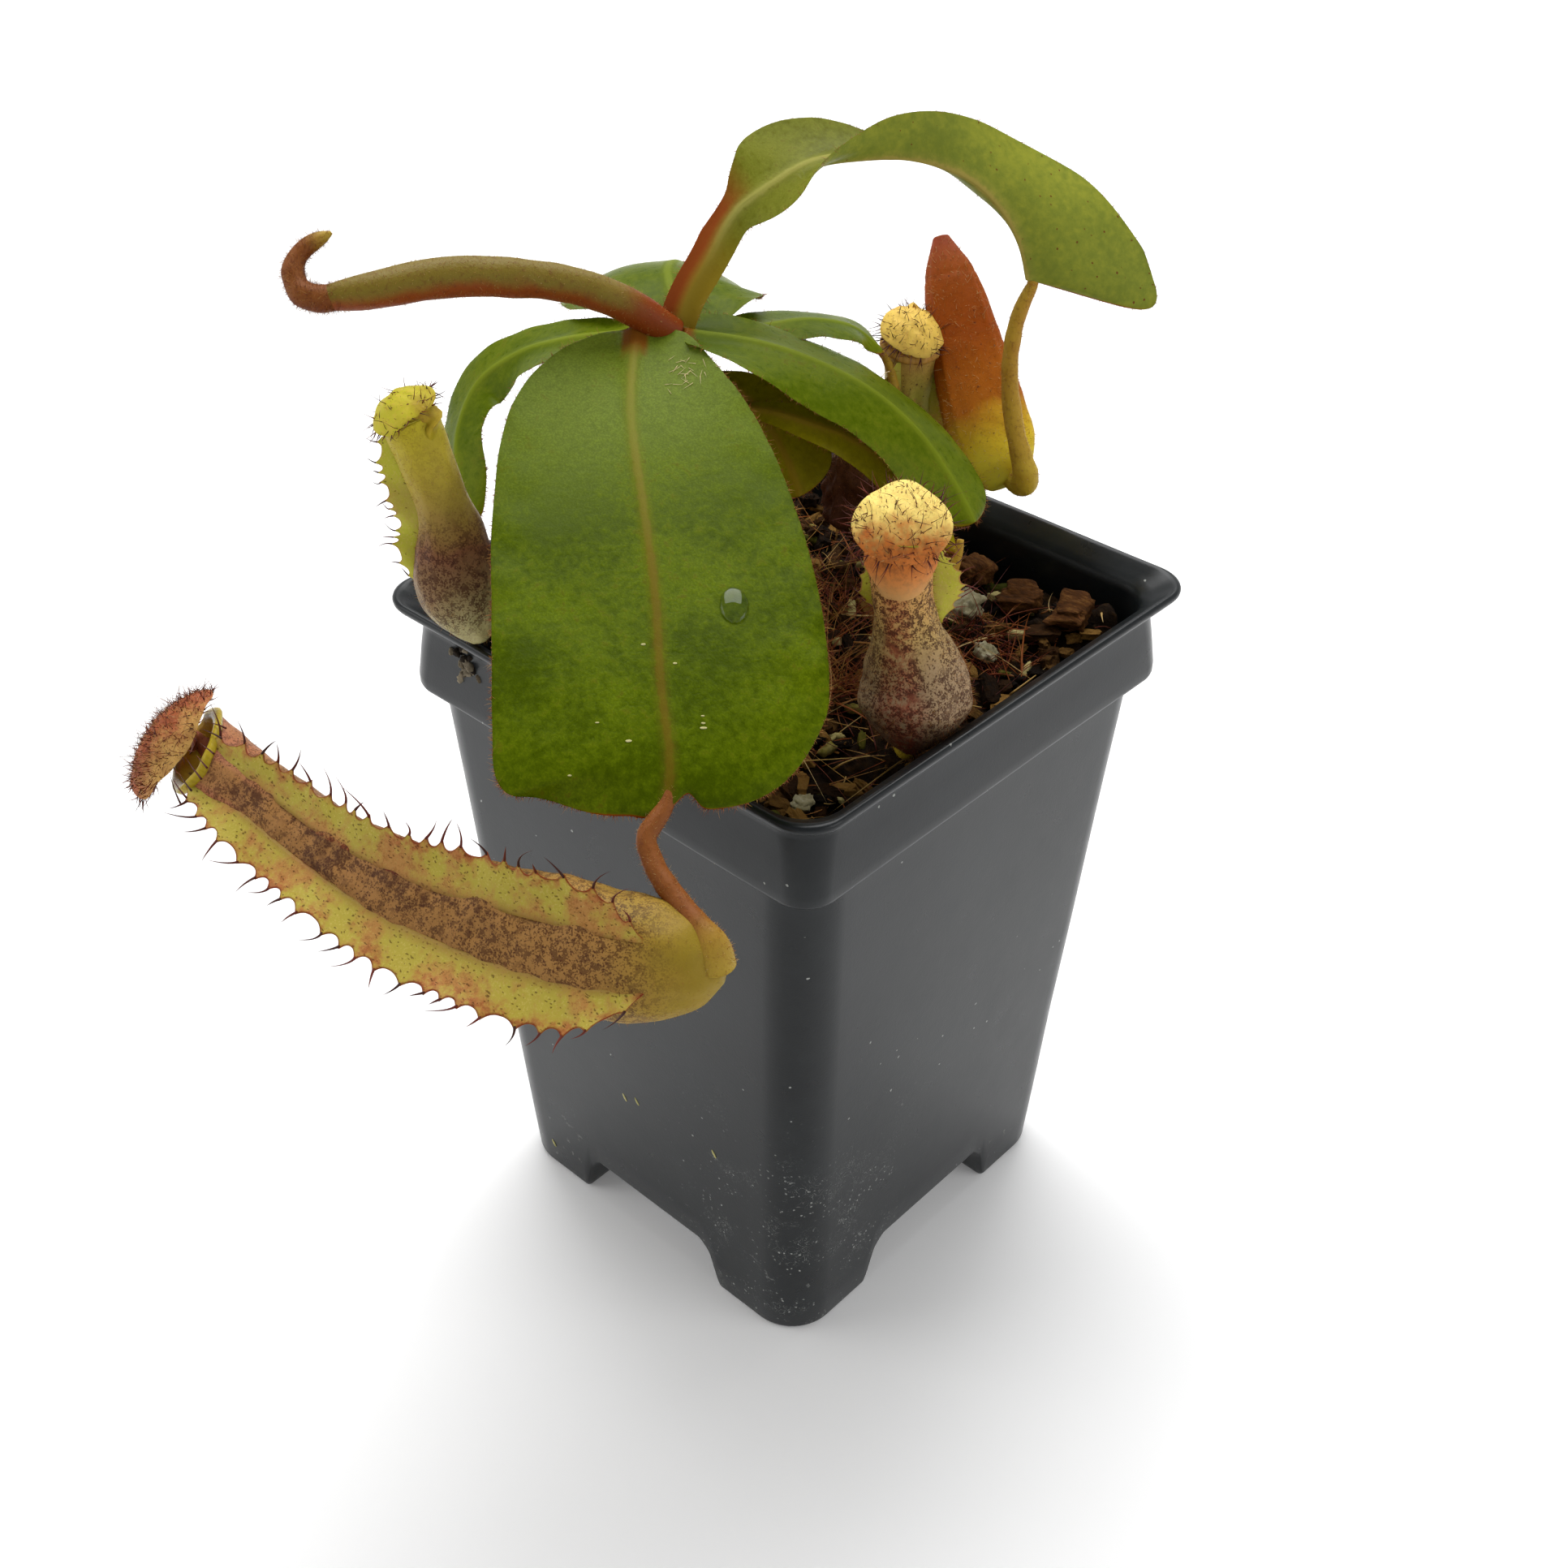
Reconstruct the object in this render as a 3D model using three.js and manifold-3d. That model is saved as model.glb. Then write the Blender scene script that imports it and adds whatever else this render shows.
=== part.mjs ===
// A potted pitcher plant: a square nursery pot on four feet, filled with coarse bark mix, and a young
// plant whose leaves carry hanging pitchers on tendrils. Millimetres, +Z up. While the pieces are laid
// out, the pot's middle axis is x = y = 0 and the feet stand on z = 0. At the end everything is shifted
// sideways, so that the origin is the middle of the whole footprint.
import * as THREE from 'three';
import { mergeVertices } from 'three/addons/utils/BufferGeometryUtils.js';
import Module from 'manifold-3d';

const wasm = await Module();
wasm.setup();

// ---------------------------------------------------------------- driving dimensions
const GAP = 0.3;                 // air kept between neighbouring pieces
const POT = {
  height: 125, rimHalf: 46.3, rimCorner: 6.6, lip: 1.2, flareRise: 3, throatHalf: 42.2,
  collarTopHalf: 43, collarFootHalf: 43.9, collarFoot: 108.5, collarCorner: 5, ledge: 0.6,
  bodyTopHalf: 42.1, bodyFootHalf: 36.1, bodyCorner: 8.5, insideCorner: 7.5, soleEdge: 1.2,
  wall: 1.2, floorTop: 12.6, archHeight: 10, archHalfSpan: 17, archDraw: 1.5, archShoulder: 5.5,
  drainRadius: 4, drainReach: 22,
};
const SOIL = { level: 113, lump: 1.5, bank: 0.045, side: 0.5 };
const STEM = {
  points: [[-12, 1, 110], [-14, 0, 128], [-17, -1, 146], [-20, -4, 161]],
  radii: [[0, 4.4], [0.6, 3.8], [1, 3.2]],
};

// ---------------------------------------------------------------- finishes
const finish = (color, roughness, metalness = 0) =>
  new THREE.MeshStandardMaterial({ color, roughness, metalness });
const leafGreen = () => finish(0x56701c, 0.42);
const oldLeaf = () => finish(0x8a8a26, 0.5);
const driedLeaf = () => finish(0x6b4a22, 0.8);
const tendrilBrown = () => finish(0xa5522a, 0.6);
const tendrilOlive = () => finish(0x84742c, 0.6);
const pitcherGreen = () => finish(0xa39a3c, 0.5);
const pitcherTan = () => finish(0x9c8a72, 0.6);
const pitcherOrange = () => finish(0xa55b25, 0.55);
const lidYellow = () => finish(0xd9b25a, 0.6);
const lidPink = () => finish(0xb5705a, 0.65);
const potPlastic = () => finish(0x34383a, 0.4);
const soilBrown = () => finish(0x2a1c12, 0.95);
const barkBrown = () => finish(0x5a3820, 0.9);
const paleStone = () => finish(0xb4b0a0, 0.9);

// ---------------------------------------------------------------- small helpers
const vec = (a) => new THREE.Vector3(...a);

// A value that runs smoothly through [position, value] pairs; the value may be a number or a list.
function track(keys) {
  const places = keys.map(([s]) => s);
  const size = [keys[0][1]].flat().length;
  const curve = new THREE.CubicInterpolant(places, keys.flatMap(([, value]) => value), size);
  return (s) => {
    const value = Array.from(curve.evaluate(s));
    return size === 1 ? value[0] : value;
  };
}

// Closed skin over a stack of rings with the same number of points; each end is closed by a fan.
function skin(rings) {
  const count = rings[0].length;
  const positions = [];
  const index = [];
  for (const ring of rings) for (const p of ring) positions.push(p.x, p.y, p.z);
  for (let k = 0; k < rings.length - 1; k += 1) {
    for (let j = 0; j < count; j += 1) {
      const a = k * count + j;
      const b = k * count + ((j + 1) % count);
      index.push(a, b, b + count, a, b + count, a + count);
    }
  }
  const addFan = (ring, start, flip) => {
    const middle = ring.reduce((sum, p) => sum.add(p), new THREE.Vector3()).divideScalar(count);
    const hub = positions.length / 3;
    positions.push(middle.x, middle.y, middle.z);
    for (let j = 0; j < count; j += 1) {
      const a = start + j;
      const b = start + ((j + 1) % count);
      if (flip) index.push(hub, b, a);
      else index.push(hub, a, b);
    }
  };
  addFan(rings[0], 0, true);
  addFan(rings[rings.length - 1], (rings.length - 1) * count, false);
  const geometry = new THREE.BufferGeometry();
  geometry.setAttribute('position', new THREE.Float32BufferAttribute(positions, 3));
  geometry.setIndex(index);
  return geometry;
}

// Frames along a smooth curve: at each step the place, the direction of travel, the face normal (the
// hinted direction made square to the travel) and the sideways direction, right of the travel. The two
// end places are pushed outwards by `swell`.
function framesAlong({ points, hints, steps, spacing = (t) => t, swell = 0 }) {
  const curve = new THREE.CatmullRomCurve3(points.map(vec), false, 'centripetal');
  const hint = track(hints);
  return Array.from({ length: steps + 1 }, (_, k) => {
    const s = spacing(k / steps);
    const along = curve.getTangentAt(s);
    const place = curve.getPointAt(s).addScaledVector(along, swell * (Math.floor(s) - Math.floor(1 - s)));
    const face = vec(hint(s));
    face.addScaledVector(along, -face.dot(along)).normalize();
    const side = new THREE.Vector3().crossVectors(along, face);
    return { s, place, along, face, side };
  });
}

// Hint for round tubes, whose turn about their own middle line doesn't matter.
const LEANING = [[0, [0.2, 0.1, 1]], [1, [0.2, 0.1, 1]]];

// Steps along a leaf, wide apart on the stalk and close together round the tip.
const towardsTip = (t) => Math.sin((t * Math.PI) / 2);

// Share of the full width that is left at s, where the outline closes from tipFrom on as a quarter oval
// and ends in a sliver.
const SLIVER = 0.005;
const tipShare = (s, tipFrom) => (
  Math.sqrt(1 - (Math.max(0, s - tipFrom) / (1 - tipFrom)) ** 2 * (1 - SLIVER))
);

// Leaf blade with its stalk. The rib is a curve; across it lies a thin oval section that is bent into an
// arc by `cup` (edges above the rib) and pushed on along the rib by `lobe` (rounded ear past the tip).
function leafBlade(leaf, swell = 0) {
  const { rib, face, half, cup, lobe = NO_LOBE, thick = THIN, tipFrom = 0.8, steps = 14, around = 14 } = leaf;
  const halfAt = track(half);
  const cupAt = track(cup);
  const lobeAt = track(lobe);
  const thickAt = track(thick);
  const frames = framesAlong({ points: rib, hints: face, steps, spacing: towardsTip, swell });
  const rings = frames.map(({ s, place, along, face: up, side }) => {
    const share = tipShare(s, tipFrom);
    const [left, right] = halfAt(s).map((width) => width * share);
    const bend = cupAt(s);
    const [leftReach, rightReach] = lobeAt(s).map((reach) => reach * share);
    return Array.from({ length: around }, (_, j) => {
      const angle = (-2 * Math.PI * j) / around;
      const across = Math.cos(angle);
      const width = (across < 0 ? left : right) + swell;
      return place.clone()
        .addScaledVector(side, across * width)
        .addScaledVector(up, Math.sin(angle) * (thickAt(s) / 2 + swell) + bend * width * across ** 2)
        .addScaledVector(along, (across < 0 ? leftReach : rightReach) * across ** 2);
    });
  });
  return skin(rings);
}

// Oval ring round a place on a curve, `wide` along its side and `deep` along its face.
function ovalRing({ place, face, side }, wide, deep, around, swell) {
  return Array.from({ length: around }, (_, j) => {
    const angle = (-2 * Math.PI * j) / around;
    return place.clone()
      .addScaledVector(side, (wide + swell) * Math.cos(angle))
      .addScaledVector(face, (deep + swell) * Math.sin(angle));
  });
}

// Round tapering tube, used for stem, tendrils and the rolled new leaf.
function taperTube({ points, radii, steps = 12, around = 8 }, swell = 0) {
  const radiusAt = track(radii);
  const frames = framesAlong({ points, hints: LEANING, steps, swell });
  return skin(frames.map((frame) => ovalRing(frame, radiusAt(frame.s), radiusAt(frame.s), around, swell)));
}

const SLANT_FROM = 0.55;         // where up a cup its rings begin to tilt with the mouth

// Pitcher cup: an outer wall that runs from the rounded foot up to the slanting mouth, turns over the
// mouth and comes back down inside. `front` points at the side that carries the two fringed wings.
function pitcherCup(pitcher, swell = 0) {
  const { axis, front, radii, slant, wall = 0.9, hollowFrom = 0.14, steps = 12, around = 12 } = pitcher;
  const radiusAt = track(radii);
  const ring = (s, frames, inset) => {
    const { place, along, face, side } = frames[Math.round(s * steps)];
    const [wide, deep] = radiusAt(s);
    return Array.from({ length: around }, (_, j) => {
      const angle = (-2 * Math.PI * j) / around;
      const tilt = -slant * Math.sin(angle) * THREE.MathUtils.smoothstep(s, SLANT_FROM, 1);
      return place.clone()
        .addScaledVector(side, (wide - inset) * Math.cos(angle))
        .addScaledVector(face, (deep - inset) * Math.sin(angle))
        .addScaledVector(along, tilt);
    });
  };
  const frames = framesAlong({ points: axis, hints: front, steps, swell });
  const outer = frames.map(({ s }) => ring(s, frames, -swell));
  if (swell > 0) return skin(outer);
  const inner = frames.filter(({ s }) => s >= hollowFrom).reverse().map(({ s }) => ring(s, frames, wall));
  return skin([...outer, ...inner]);
}

const WING_ROOT = 0.5;           // how deep a wing is rooted in the wall of its cup

// Wing of a pitcher: a thin upright ridge that follows the cup, `turn` radians round from its front.
function pitcherWing({ axis, front, radii, wing, steps = 12 }, turn, swell = 0) {
  const radiusAt = track(radii);
  const heightAt = track(wing.height);
  const frames = framesAlong({ points: axis, hints: front, steps })
    .filter(({ s }) => s >= wing.from && s <= wing.to);
  const rings = frames.map(({ s, place, face, side }) => {
    const [wide, deep] = radiusAt(s);
    const outward = face.clone().multiplyScalar(Math.cos(turn)).addScaledVector(side, Math.sin(turn));
    const sideways = side.clone().multiplyScalar(Math.cos(turn)).addScaledVector(face, -Math.sin(turn));
    const foot = place.clone()
      .addScaledVector(face, (deep - WING_ROOT) * Math.cos(turn))
      .addScaledVector(side, (wide - WING_ROOT) * Math.sin(turn));
    const crest = foot.clone().addScaledVector(outward, WING_ROOT + heightAt(s) + swell);
    const thick = wing.thick / 2 + swell;
    return [
      foot.clone().addScaledVector(sideways, thick),
      foot.clone().addScaledVector(sideways, -thick),
      crest.clone().addScaledVector(sideways, -thick * 0.6),
      crest.clone().addScaledVector(sideways, thick * 0.6),
    ];
  });
  return skin(rings);
}

// Dome of a lid, from its middle to its edge: share of the half size, share of the rise.
const LID_PROFILE = [[0.35, 1], [0.75, 0.55], [0.98, 0]];

// A shallow dome with an oval outline: a lid. `normal` points away from the mouth, `length` lies along it.
function lidShield({ centre, normal, length, halfLength, halfWidth, dome, thick = 1.1 }, swell = 0) {
  const up = vec(normal).normalize();
  const long = vec(length);
  long.addScaledVector(up, -long.dot(up)).normalize();
  const across = new THREE.Vector3().crossVectors(up, long);
  const around = 16;
  const oval = (scale, height) => Array.from({ length: around }, (_, j) => {
    const angle = (-2 * Math.PI * j) / around;
    return vec(centre)
      .addScaledVector(across, (halfWidth * scale + swell) * Math.cos(angle))
      .addScaledVector(long, (halfLength * scale + swell) * Math.sin(angle))
      .addScaledVector(up, height);
  });
  const skinHalf = thick / 2 + swell;
  return skin([
    ...LID_PROFILE.map(([scale, rise]) => oval(scale, dome * rise - skinHalf)),
    ...LID_PROFILE.toReversed().map(([scale, rise]) => oval(scale, dome * rise + skinHalf)),
  ]);
}

// Square with round corners at height z, run anticlockwise seen from above.
function roundedSquare(half, corner, z, perCorner = 5) {
  const ring = [];
  for (let k = 0; k < 4; k += 1) {
    const middle = (k * Math.PI) / 2 + Math.PI / 4;
    const cx = Math.sign(Math.cos(middle)) * (half - corner);
    const cy = Math.sign(Math.sin(middle)) * (half - corner);
    for (let j = 0; j < perCorner; j += 1) {
      const angle = (k * Math.PI) / 2 + (j / (perCorner - 1)) * (Math.PI / 2);
      ring.push(new THREE.Vector3(cx + corner * Math.cos(angle), cy + corner * Math.sin(angle), z));
    }
  }
  return ring;
}

// Outer half width of the pot's body at height z; the walls draw in towards the feet.
const bodyHalf = (z) => THREE.MathUtils.mapLinear(z, 0, POT.collarFoot, POT.bodyFootHalf, POT.bodyTopHalf);

// Pot wall in one skin: up the outside from the feet, over the collar and the flared rim, down the inside.
function potShell(swell = 0) {
  const p = POT;
  const flareFoot = p.height - p.flareRise;
  const insideHalf = (half) => half - p.wall - swell;
  return skin([
    roundedSquare(p.bodyFootHalf - p.soleEdge + swell, p.bodyCorner, -swell),
    roundedSquare(bodyHalf(p.soleEdge) + swell, p.bodyCorner, p.soleEdge),
    roundedSquare(p.bodyTopHalf + swell, p.bodyCorner, p.collarFoot - p.ledge - swell),
    roundedSquare(p.collarFootHalf + swell, p.collarCorner, p.collarFoot - swell),
    roundedSquare(p.collarTopHalf + swell, p.rimCorner, flareFoot - p.lip),
    roundedSquare(p.rimHalf + swell, p.rimCorner, p.height - p.lip),
    roundedSquare(p.rimHalf + swell, p.rimCorner, p.height + swell),
    roundedSquare(p.rimHalf - p.lip, p.rimCorner, p.height + swell),
    roundedSquare(p.throatHalf - swell, p.rimCorner, flareFoot + p.lip / 2 + swell),
    roundedSquare(insideHalf(p.throatHalf), p.rimCorner, flareFoot - p.lip / 2),
    roundedSquare(insideHalf(p.bodyTopHalf), p.insideCorner, p.collarFoot - p.wall),
    roundedSquare(insideHalf(bodyHalf(p.floorTop)), p.insideCorner, p.floorTop - swell),
  ]);
}

// Arch under the pot, a straight channel that runs the whole way through along Y. Its sides draw in
// as they rise and turn over into a flat top.
function archChannel() {
  const { archHeight: top, archHalfSpan: w, archDraw: draw, archShoulder: shoulder, rimHalf } = POT;
  const outline = new THREE.Shape();
  outline.moveTo(-w, -top);
  outline.lineTo(-w, 0);
  outline.bezierCurveTo(draw - w, top * 0.3, draw - w, top * 0.8, shoulder - w, top);
  outline.lineTo(w - shoulder, top);
  outline.bezierCurveTo(w - draw, top * 0.8, w - draw, top * 0.3, w, 0);
  outline.lineTo(w, -top);
  outline.closePath();
  const settings = { depth: 2 * rimHalf, bevelEnabled: false, curveSegments: 4 };
  const channel = new THREE.ExtrudeGeometry(outline, settings);
  return channel.rotateX(Math.PI / 2).translate(0, rimHalf, 0);
}

// Height of the bark mix at a place in the pot: gentle lumps, banked up towards the right-hand corner.
function soilHeight(x, y) {
  const lumps = Math.sin(x * 0.21 + 1) * Math.cos(y * 0.17) + 0.6 * Math.sin(x * 0.39 - y * 0.33);
  return SOIL.level + SOIL.lump * lumps + SOIL.bank * (x + y);
}

// Block of bark mix filling the pot, with a lumpy top.
function soilBlock(swell = 0) {
  const half = (z) => bodyHalf(z) - POT.wall - SOIL.side;
  const corner = POT.insideCorner;
  const shoulder = POT.collarFoot - POT.wall;
  const rings = [
    roundedSquare(half(POT.floorTop), corner, POT.floorTop + GAP, 4),
    roundedSquare(half(shoulder), corner, shoulder, 4),
  ];
  for (const scale of [1, 0.8, 0.6, 0.4, 0.2]) {
    const ring = roundedSquare(half(shoulder) * scale, corner * scale, 0, 4);
    for (const p of ring) p.z = soilHeight(p.x, p.y) + swell;
    rings.push(ring);
  }
  return skin(rings);
}

// A lump of bark, stone or moss: a coarse ball pulled to three half sizes and turned.
function lumpOf({ at, size, turn = [0, 0, 0], detail = 0 }, swell = 0) {
  const ball = new THREE.IcosahedronGeometry(1, detail);
  ball.scale(...size.map((v) => v + swell));
  ball.rotateX(turn[0]).rotateY(turn[1]).rotateZ(turn[2]).translate(...at);
  return ball;
}

// ---------------------------------------------------------------- the plant's organs
// `left` and `right` halves of a leaf are those of somebody walking out along its upper side.
const UP = [[0, [0, 0, 1]], [1, [0, 0, 1]]];
const NO_LOBE = [[0, [0, 0]], [1, [0, 0]]];
const THIN = [[0, 3], [0.12, 1.8], [0.3, 1], [1, 0.9]];
const FLAT = [[0, 0.3], [0.3, 0], [1, -0.1]];

const frontLeaf = {
  rib: [
    [-20, -9, 163], [-10, -22, 159], [3, -33, 152], [13, -41.5, 146], [22.5, -50, 140],
    [30, -56, 134.5], [33, -59, 131],
  ],
  face: [[0, [0.3, -0.33, 0.9]], [1, [0.3, -0.33, 0.9]]],
  half: [
    [0, [5, 4]], [0.06, [11, 8]], [0.2, [16.5, 16.5]], [0.4, [20.5, 21]], [0.6, [22.3, 22.4]],
    [0.8, [22.6, 22.8]], [0.92, [21, 23.8]], [1, [18, 23]],
  ],
  cup: [[0, 0.25], [0.3, 0], [0.7, -0.08], [1, -0.15]],
  lobe: [[0, [0, 0]], [0.7, [0, 0]], [0.94, [-1, 4]], [1, [-1, 7]]],
  tipFrom: 0.84,
  steps: 16,
  around: 16,
};
const archingLeaf = {
  rib: [
    [-19, -2.5, 164.5], [-19.4, 2, 172], [-18.6, 7.4, 178.7], [-16, 11.5, 182.2], [-12.5, 17.7, 185.6],
    [-7.8, 23.3, 186.6], [-2.8, 28.7, 186.4], [4, 34.3, 183.6], [9.2, 38, 178.3], [12.3, 39, 173.8],
    [14.4, 39, 168.6],
  ],
  face: [
    [0, [0.5, -0.6, 0.4]], [0.28, [0.45, -0.5, 0.7]], [0.45, [0.1, -0.1, 1]], [0.6, [-0.4, 0.45, 0.8]],
    [0.75, [-0.66, 0.71, 0.24]], [0.9, [0.1, 0.9, -0.2]], [1, [0.3, 0.89, -0.33]],
  ],
  half: [
    [0, [2.8, 2.8]], [0.22, [2.9, 2.9]], [0.3, [5.6, 5]], [0.42, [8, 7.4]], [0.52, [6, 5.6]],
    [0.6, [4, 6.2]], [0.7, [3.2, 6.4]], [0.78, [3.4, 6.6]], [0.9, [4, 9]], [1, [4, 12.2]],
  ],
  cup: [[0, 0.5], [0.4, 0.15], [0.6, 0.8], [0.75, 1.2], [1, 1.4]],
  lobe: [[0, [0, 0]], [0.7, [0, 0]], [0.85, [0, 4]], [0.95, [0, 10]], [1, [0, 14]]],
  thick: [[0, 2.6], [0.22, 2.2], [0.32, 1], [1, 0.9]],
  tipFrom: 0.95,
  steps: 22,
};
const leftLeaf = {
  rib: [
    [-24, -8.5, 162.6], [-36, -12, 159.4], [-44.4, -15, 155.6], [-49.3, -19.6, 150.6], [-48.4, -25, 144.8],
    [-43, -30, 140], [-36, -34, 136],
  ],
  face: [[0, [0, 0, 1]], [0.35, [0, -0.3, 0.9]], [0.6, [-0.2, -0.9, 0.4]], [1, [0, -0.8, 0.6]]],
  half: [[0, [3, 3]], [0.2, [6.6, 6]], [0.5, [6.4, 6]], [0.8, [6, 6]], [1, [5, 5]]],
  cup: FLAT,
};
const rightLeaf = {
  rib: [
    [-15.5, -3, 163], [-10, 3, 162], [-3.5, 8.5, 159.5], [4, 13, 155.7], [11.5, 16, 150], [18.5, 17, 143],
    [23, 16.5, 138.5],
  ],
  face: UP,
  half: [[0, [3, 3]], [0.12, [6, 6]], [0.4, [9, 9]], [0.8, [9, 8]], [1, [8, 7]]],
  cup: [[0, 0.3], [0.3, -0.1], [1, -0.25]],
};
const lowerRightLeaf = {
  rib: [
    [-14, -1, 151.5], [-3.5, 0.3, 153.6], [1.7, 2.7, 153], [7, 6, 151.6], [12.8, 8.8, 148.4],
    [19.2, 11.2, 142.5], [24.8, 11.6, 136.5],
  ],
  face: [[0, [0.3, -0.4, 0.8]], [1, [0.4, -0.5, 0.75]]],
  half: [[0, [1.2, 1.2]], [0.25, [0.8, 0.8]], [0.5, [2, 2.6]], [0.8, [4, 4]], [1, [3, 4]]],
  cup: FLAT,
  thick: [[0, 2], [0.3, 1.2], [1, 0.9]],
};
const backRightLeaf = {
  rib: [[-17, 3, 161], [-15.9, 14.5, 159.9], [-14.9, 21, 158.8], [-12, 27.8, 156.2], [-8.8, 31.4, 152]],
  face: UP,
  half: [[0, [2.5, 2.5]], [0.3, [6, 6]], [0.8, [6, 6]], [1, [4, 4]]],
  cup: FLAT,
};
const backLeaf = {
  rib: [[-23, -0.5, 162], [-28, 3, 164.4], [-34, 8, 165.4], [-41, 17, 162.4], [-46, 25, 155.4]],
  face: UP,
  half: [[0, [4, 3]], [0.25, [15.5, 10]], [0.6, [17, 12]], [1, [10, 9]]],
  cup: [[0, 0.2], [0.3, -0.25], [1, -0.35]],
};
const hangingLeaf = {
  rib: [[-13.5, -2.5, 156.5], [-10.5, 0.5, 154], [-7, 3.1, 148.8], [-3.3, 3.8, 142.9], [-1.3, 3.6, 139.2]],
  face: [[0, [0.3, -0.4, 0.8]], [1, [0.5, -0.6, 0.6]]],
  half: [[0, [2, 2]], [0.3, [5, 5]], [0.8, [7, 6]], [1, [5, 5]]],
  cup: FLAT,
};

const rolledLeaf = {
  points: [
    [-21.5, -8.5, 166.5], [-24.3, -12, 169.5], [-28.8, -17.5, 172.3], [-34, -25.3, 174.2],
    [-39, -33.3, 175], [-43.5, -41.5, 174.3], [-48, -48, 173.6],
  ],
  radii: [[0, 1.9], [0.3, 2.5], [0.7, 2.9], [0.9, 2.5], [1, 1.8]],
  steps: 14,
  around: 10,
};
const rolledLeafTip = {
  points: [
    [-48.6, -48.5, 173.6], [-50.4, -49.1, 174.6], [-52.9, -48.1, 177], [-53.1, -45.3, 179.2],
    [-52.2, -41.4, 180.5],
  ],
  radii: [[0, 1.7], [0.6, 1.3], [1, 0.8]],
};
const tendrils = {
  front_tendril: {
    points: [
      [33.2, -60, 130.6], [33, -63.2, 129], [34.6, -64.2, 127.3], [39.1, -64.6, 123.4], [42.4, -65, 121],
    ],
    radii: [[0, 1], [0.5, 1.3], [1, 1.7]],
  },
  arching_tendril: {
    points: [
      [14.7, 39.2, 168.2], [13.4, 37.8, 163.4], [13.2, 36.6, 156.1], [14.6, 36.2, 148], [17.4, 35.6, 140.2],
      [18.6, 35.8, 137],
    ],
    radii: [[0, 1], [0.5, 1.2], [1, 1.9]],
  },
  left_tendril: {
    points: [[-35, -35, 135], [-32, -38, 128], [-27.5, -41, 125.4], [-24.4, -42.7, 125.2]],
    radii: [[0, 0.9], [1, 1.2]],
  },
  back_tendril: {
    points: [[-8, 32, 150.6], [-3.5, 31, 140], [-1.5, 31, 128], [-3.5, 33.4, 118.8], [-6, 35.6, 116.6]],
    radii: [[0, 0.8], [1, 1.2]],
  },
  right_tendril: {
    points: [[24.6, 11, 135.4], [24, 7, 128], [24.4, -1, 120.4], [29, -8, 116.8], [34.6, -12.4, 116.4]],
    radii: [[0, 0.8], [1, 1.2]],
  },
};

// Cups stand upright, save the large front one, which hangs outside the pot and lies along its wall.
const WING_TURN = 0.62;
const frontPitcher = {
  axis: [
    [48.8, -65.5, 117.2], [44.4, -68.4, 117], [36.5, -73, 116.4], [28, -76.5, 116], [18.7, -79.7, 115.8],
    [6.7, -83.4, 116.2], [-7.6, -86, 118], [-20.2, -87.3, 120.6], [-32.2, -88.4, 122.8],
  ],
  front: [[0, [0.59, -0.65, 0.41]], [1, [0.59, -0.65, 0.41]]],
  radii: [
    [0, [2.4, 2.2]], [0.03, [5.4, 5]], [0.08, [7.4, 6.8]], [0.2, [8.8, 7.8]], [0.35, [8.4, 7.6]],
    [0.5, [7.2, 6.8]], [0.7, [5.8, 5.6]], [0.9, [5.4, 5.2]], [1, [6.6, 6.2]],
  ],
  slant: 2,
  steps: 18,
  around: 14,
  wing: { from: 0.1, to: 0.95, thick: 1, height: [[0, 0.4], [0.2, 4], [0.5, 3.4], [0.75, 2.2], [1, 1]] },
};
const leftPitcher = {
  axis: [
    [-22.8, -44.6, 125.8], [-23.3, -44.9, 129], [-25.5, -45.7, 135.4], [-26.6, -45, 143],
    [-27.9, -45, 149.9], [-29.2, -45.2, 155], [-30.6, -45.4, 158.4],
  ],
  front: [[0, [-0.99, 0.1, 0]], [1, [-0.99, -0.1, 0]]],
  radii: [
    [0, [1.5, 1.5]], [0.08, [4, 4]], [0.25, [6.2, 6.2]], [0.42, [5.6, 5.6]], [0.62, [4.2, 4.2]],
    [0.85, [4.1, 4.1]], [1, [4.8, 4.8]],
  ],
  slant: 1.2,
  hollowFrom: 0.2,
  wall: 0.6,
  wing: { from: 0.3, to: 0.95, thick: 0.9, height: [[0, 0.4], [0.4, 2.2], [0.8, 2.4], [1, 0.8]] },
};
const rightPitcher = {
  axis: [
    [36.4, -13, 117.2], [35.8, -12.2, 121.9], [35, -11.4, 128.3], [33.7, -12.1, 136.3],
    [32.7, -12.4, 142.8], [32.2, -12.4, 146.5], [31.7, -12, 150],
  ],
  front: [[0, [-0.4, 0.9, 0]], [1, [-0.4, 0.9, 0]]],
  radii: [
    [0, [1.6, 1.6]], [0.08, [4.8, 4.8]], [0.25, [8.2, 8]], [0.42, [7.2, 7]], [0.62, [5.2, 5.1]],
    [0.85, [5, 4.9]], [1, [5.6, 5.4]],
  ],
  slant: 1.2,
  hollowFrom: 0.2,
  wall: 0.6,
  wing: { from: 0.35, to: 0.95, thick: 0.9, height: [[0, 0.4], [0.5, 1.6], [0.8, 2.2], [1, 1]] },
};
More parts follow.
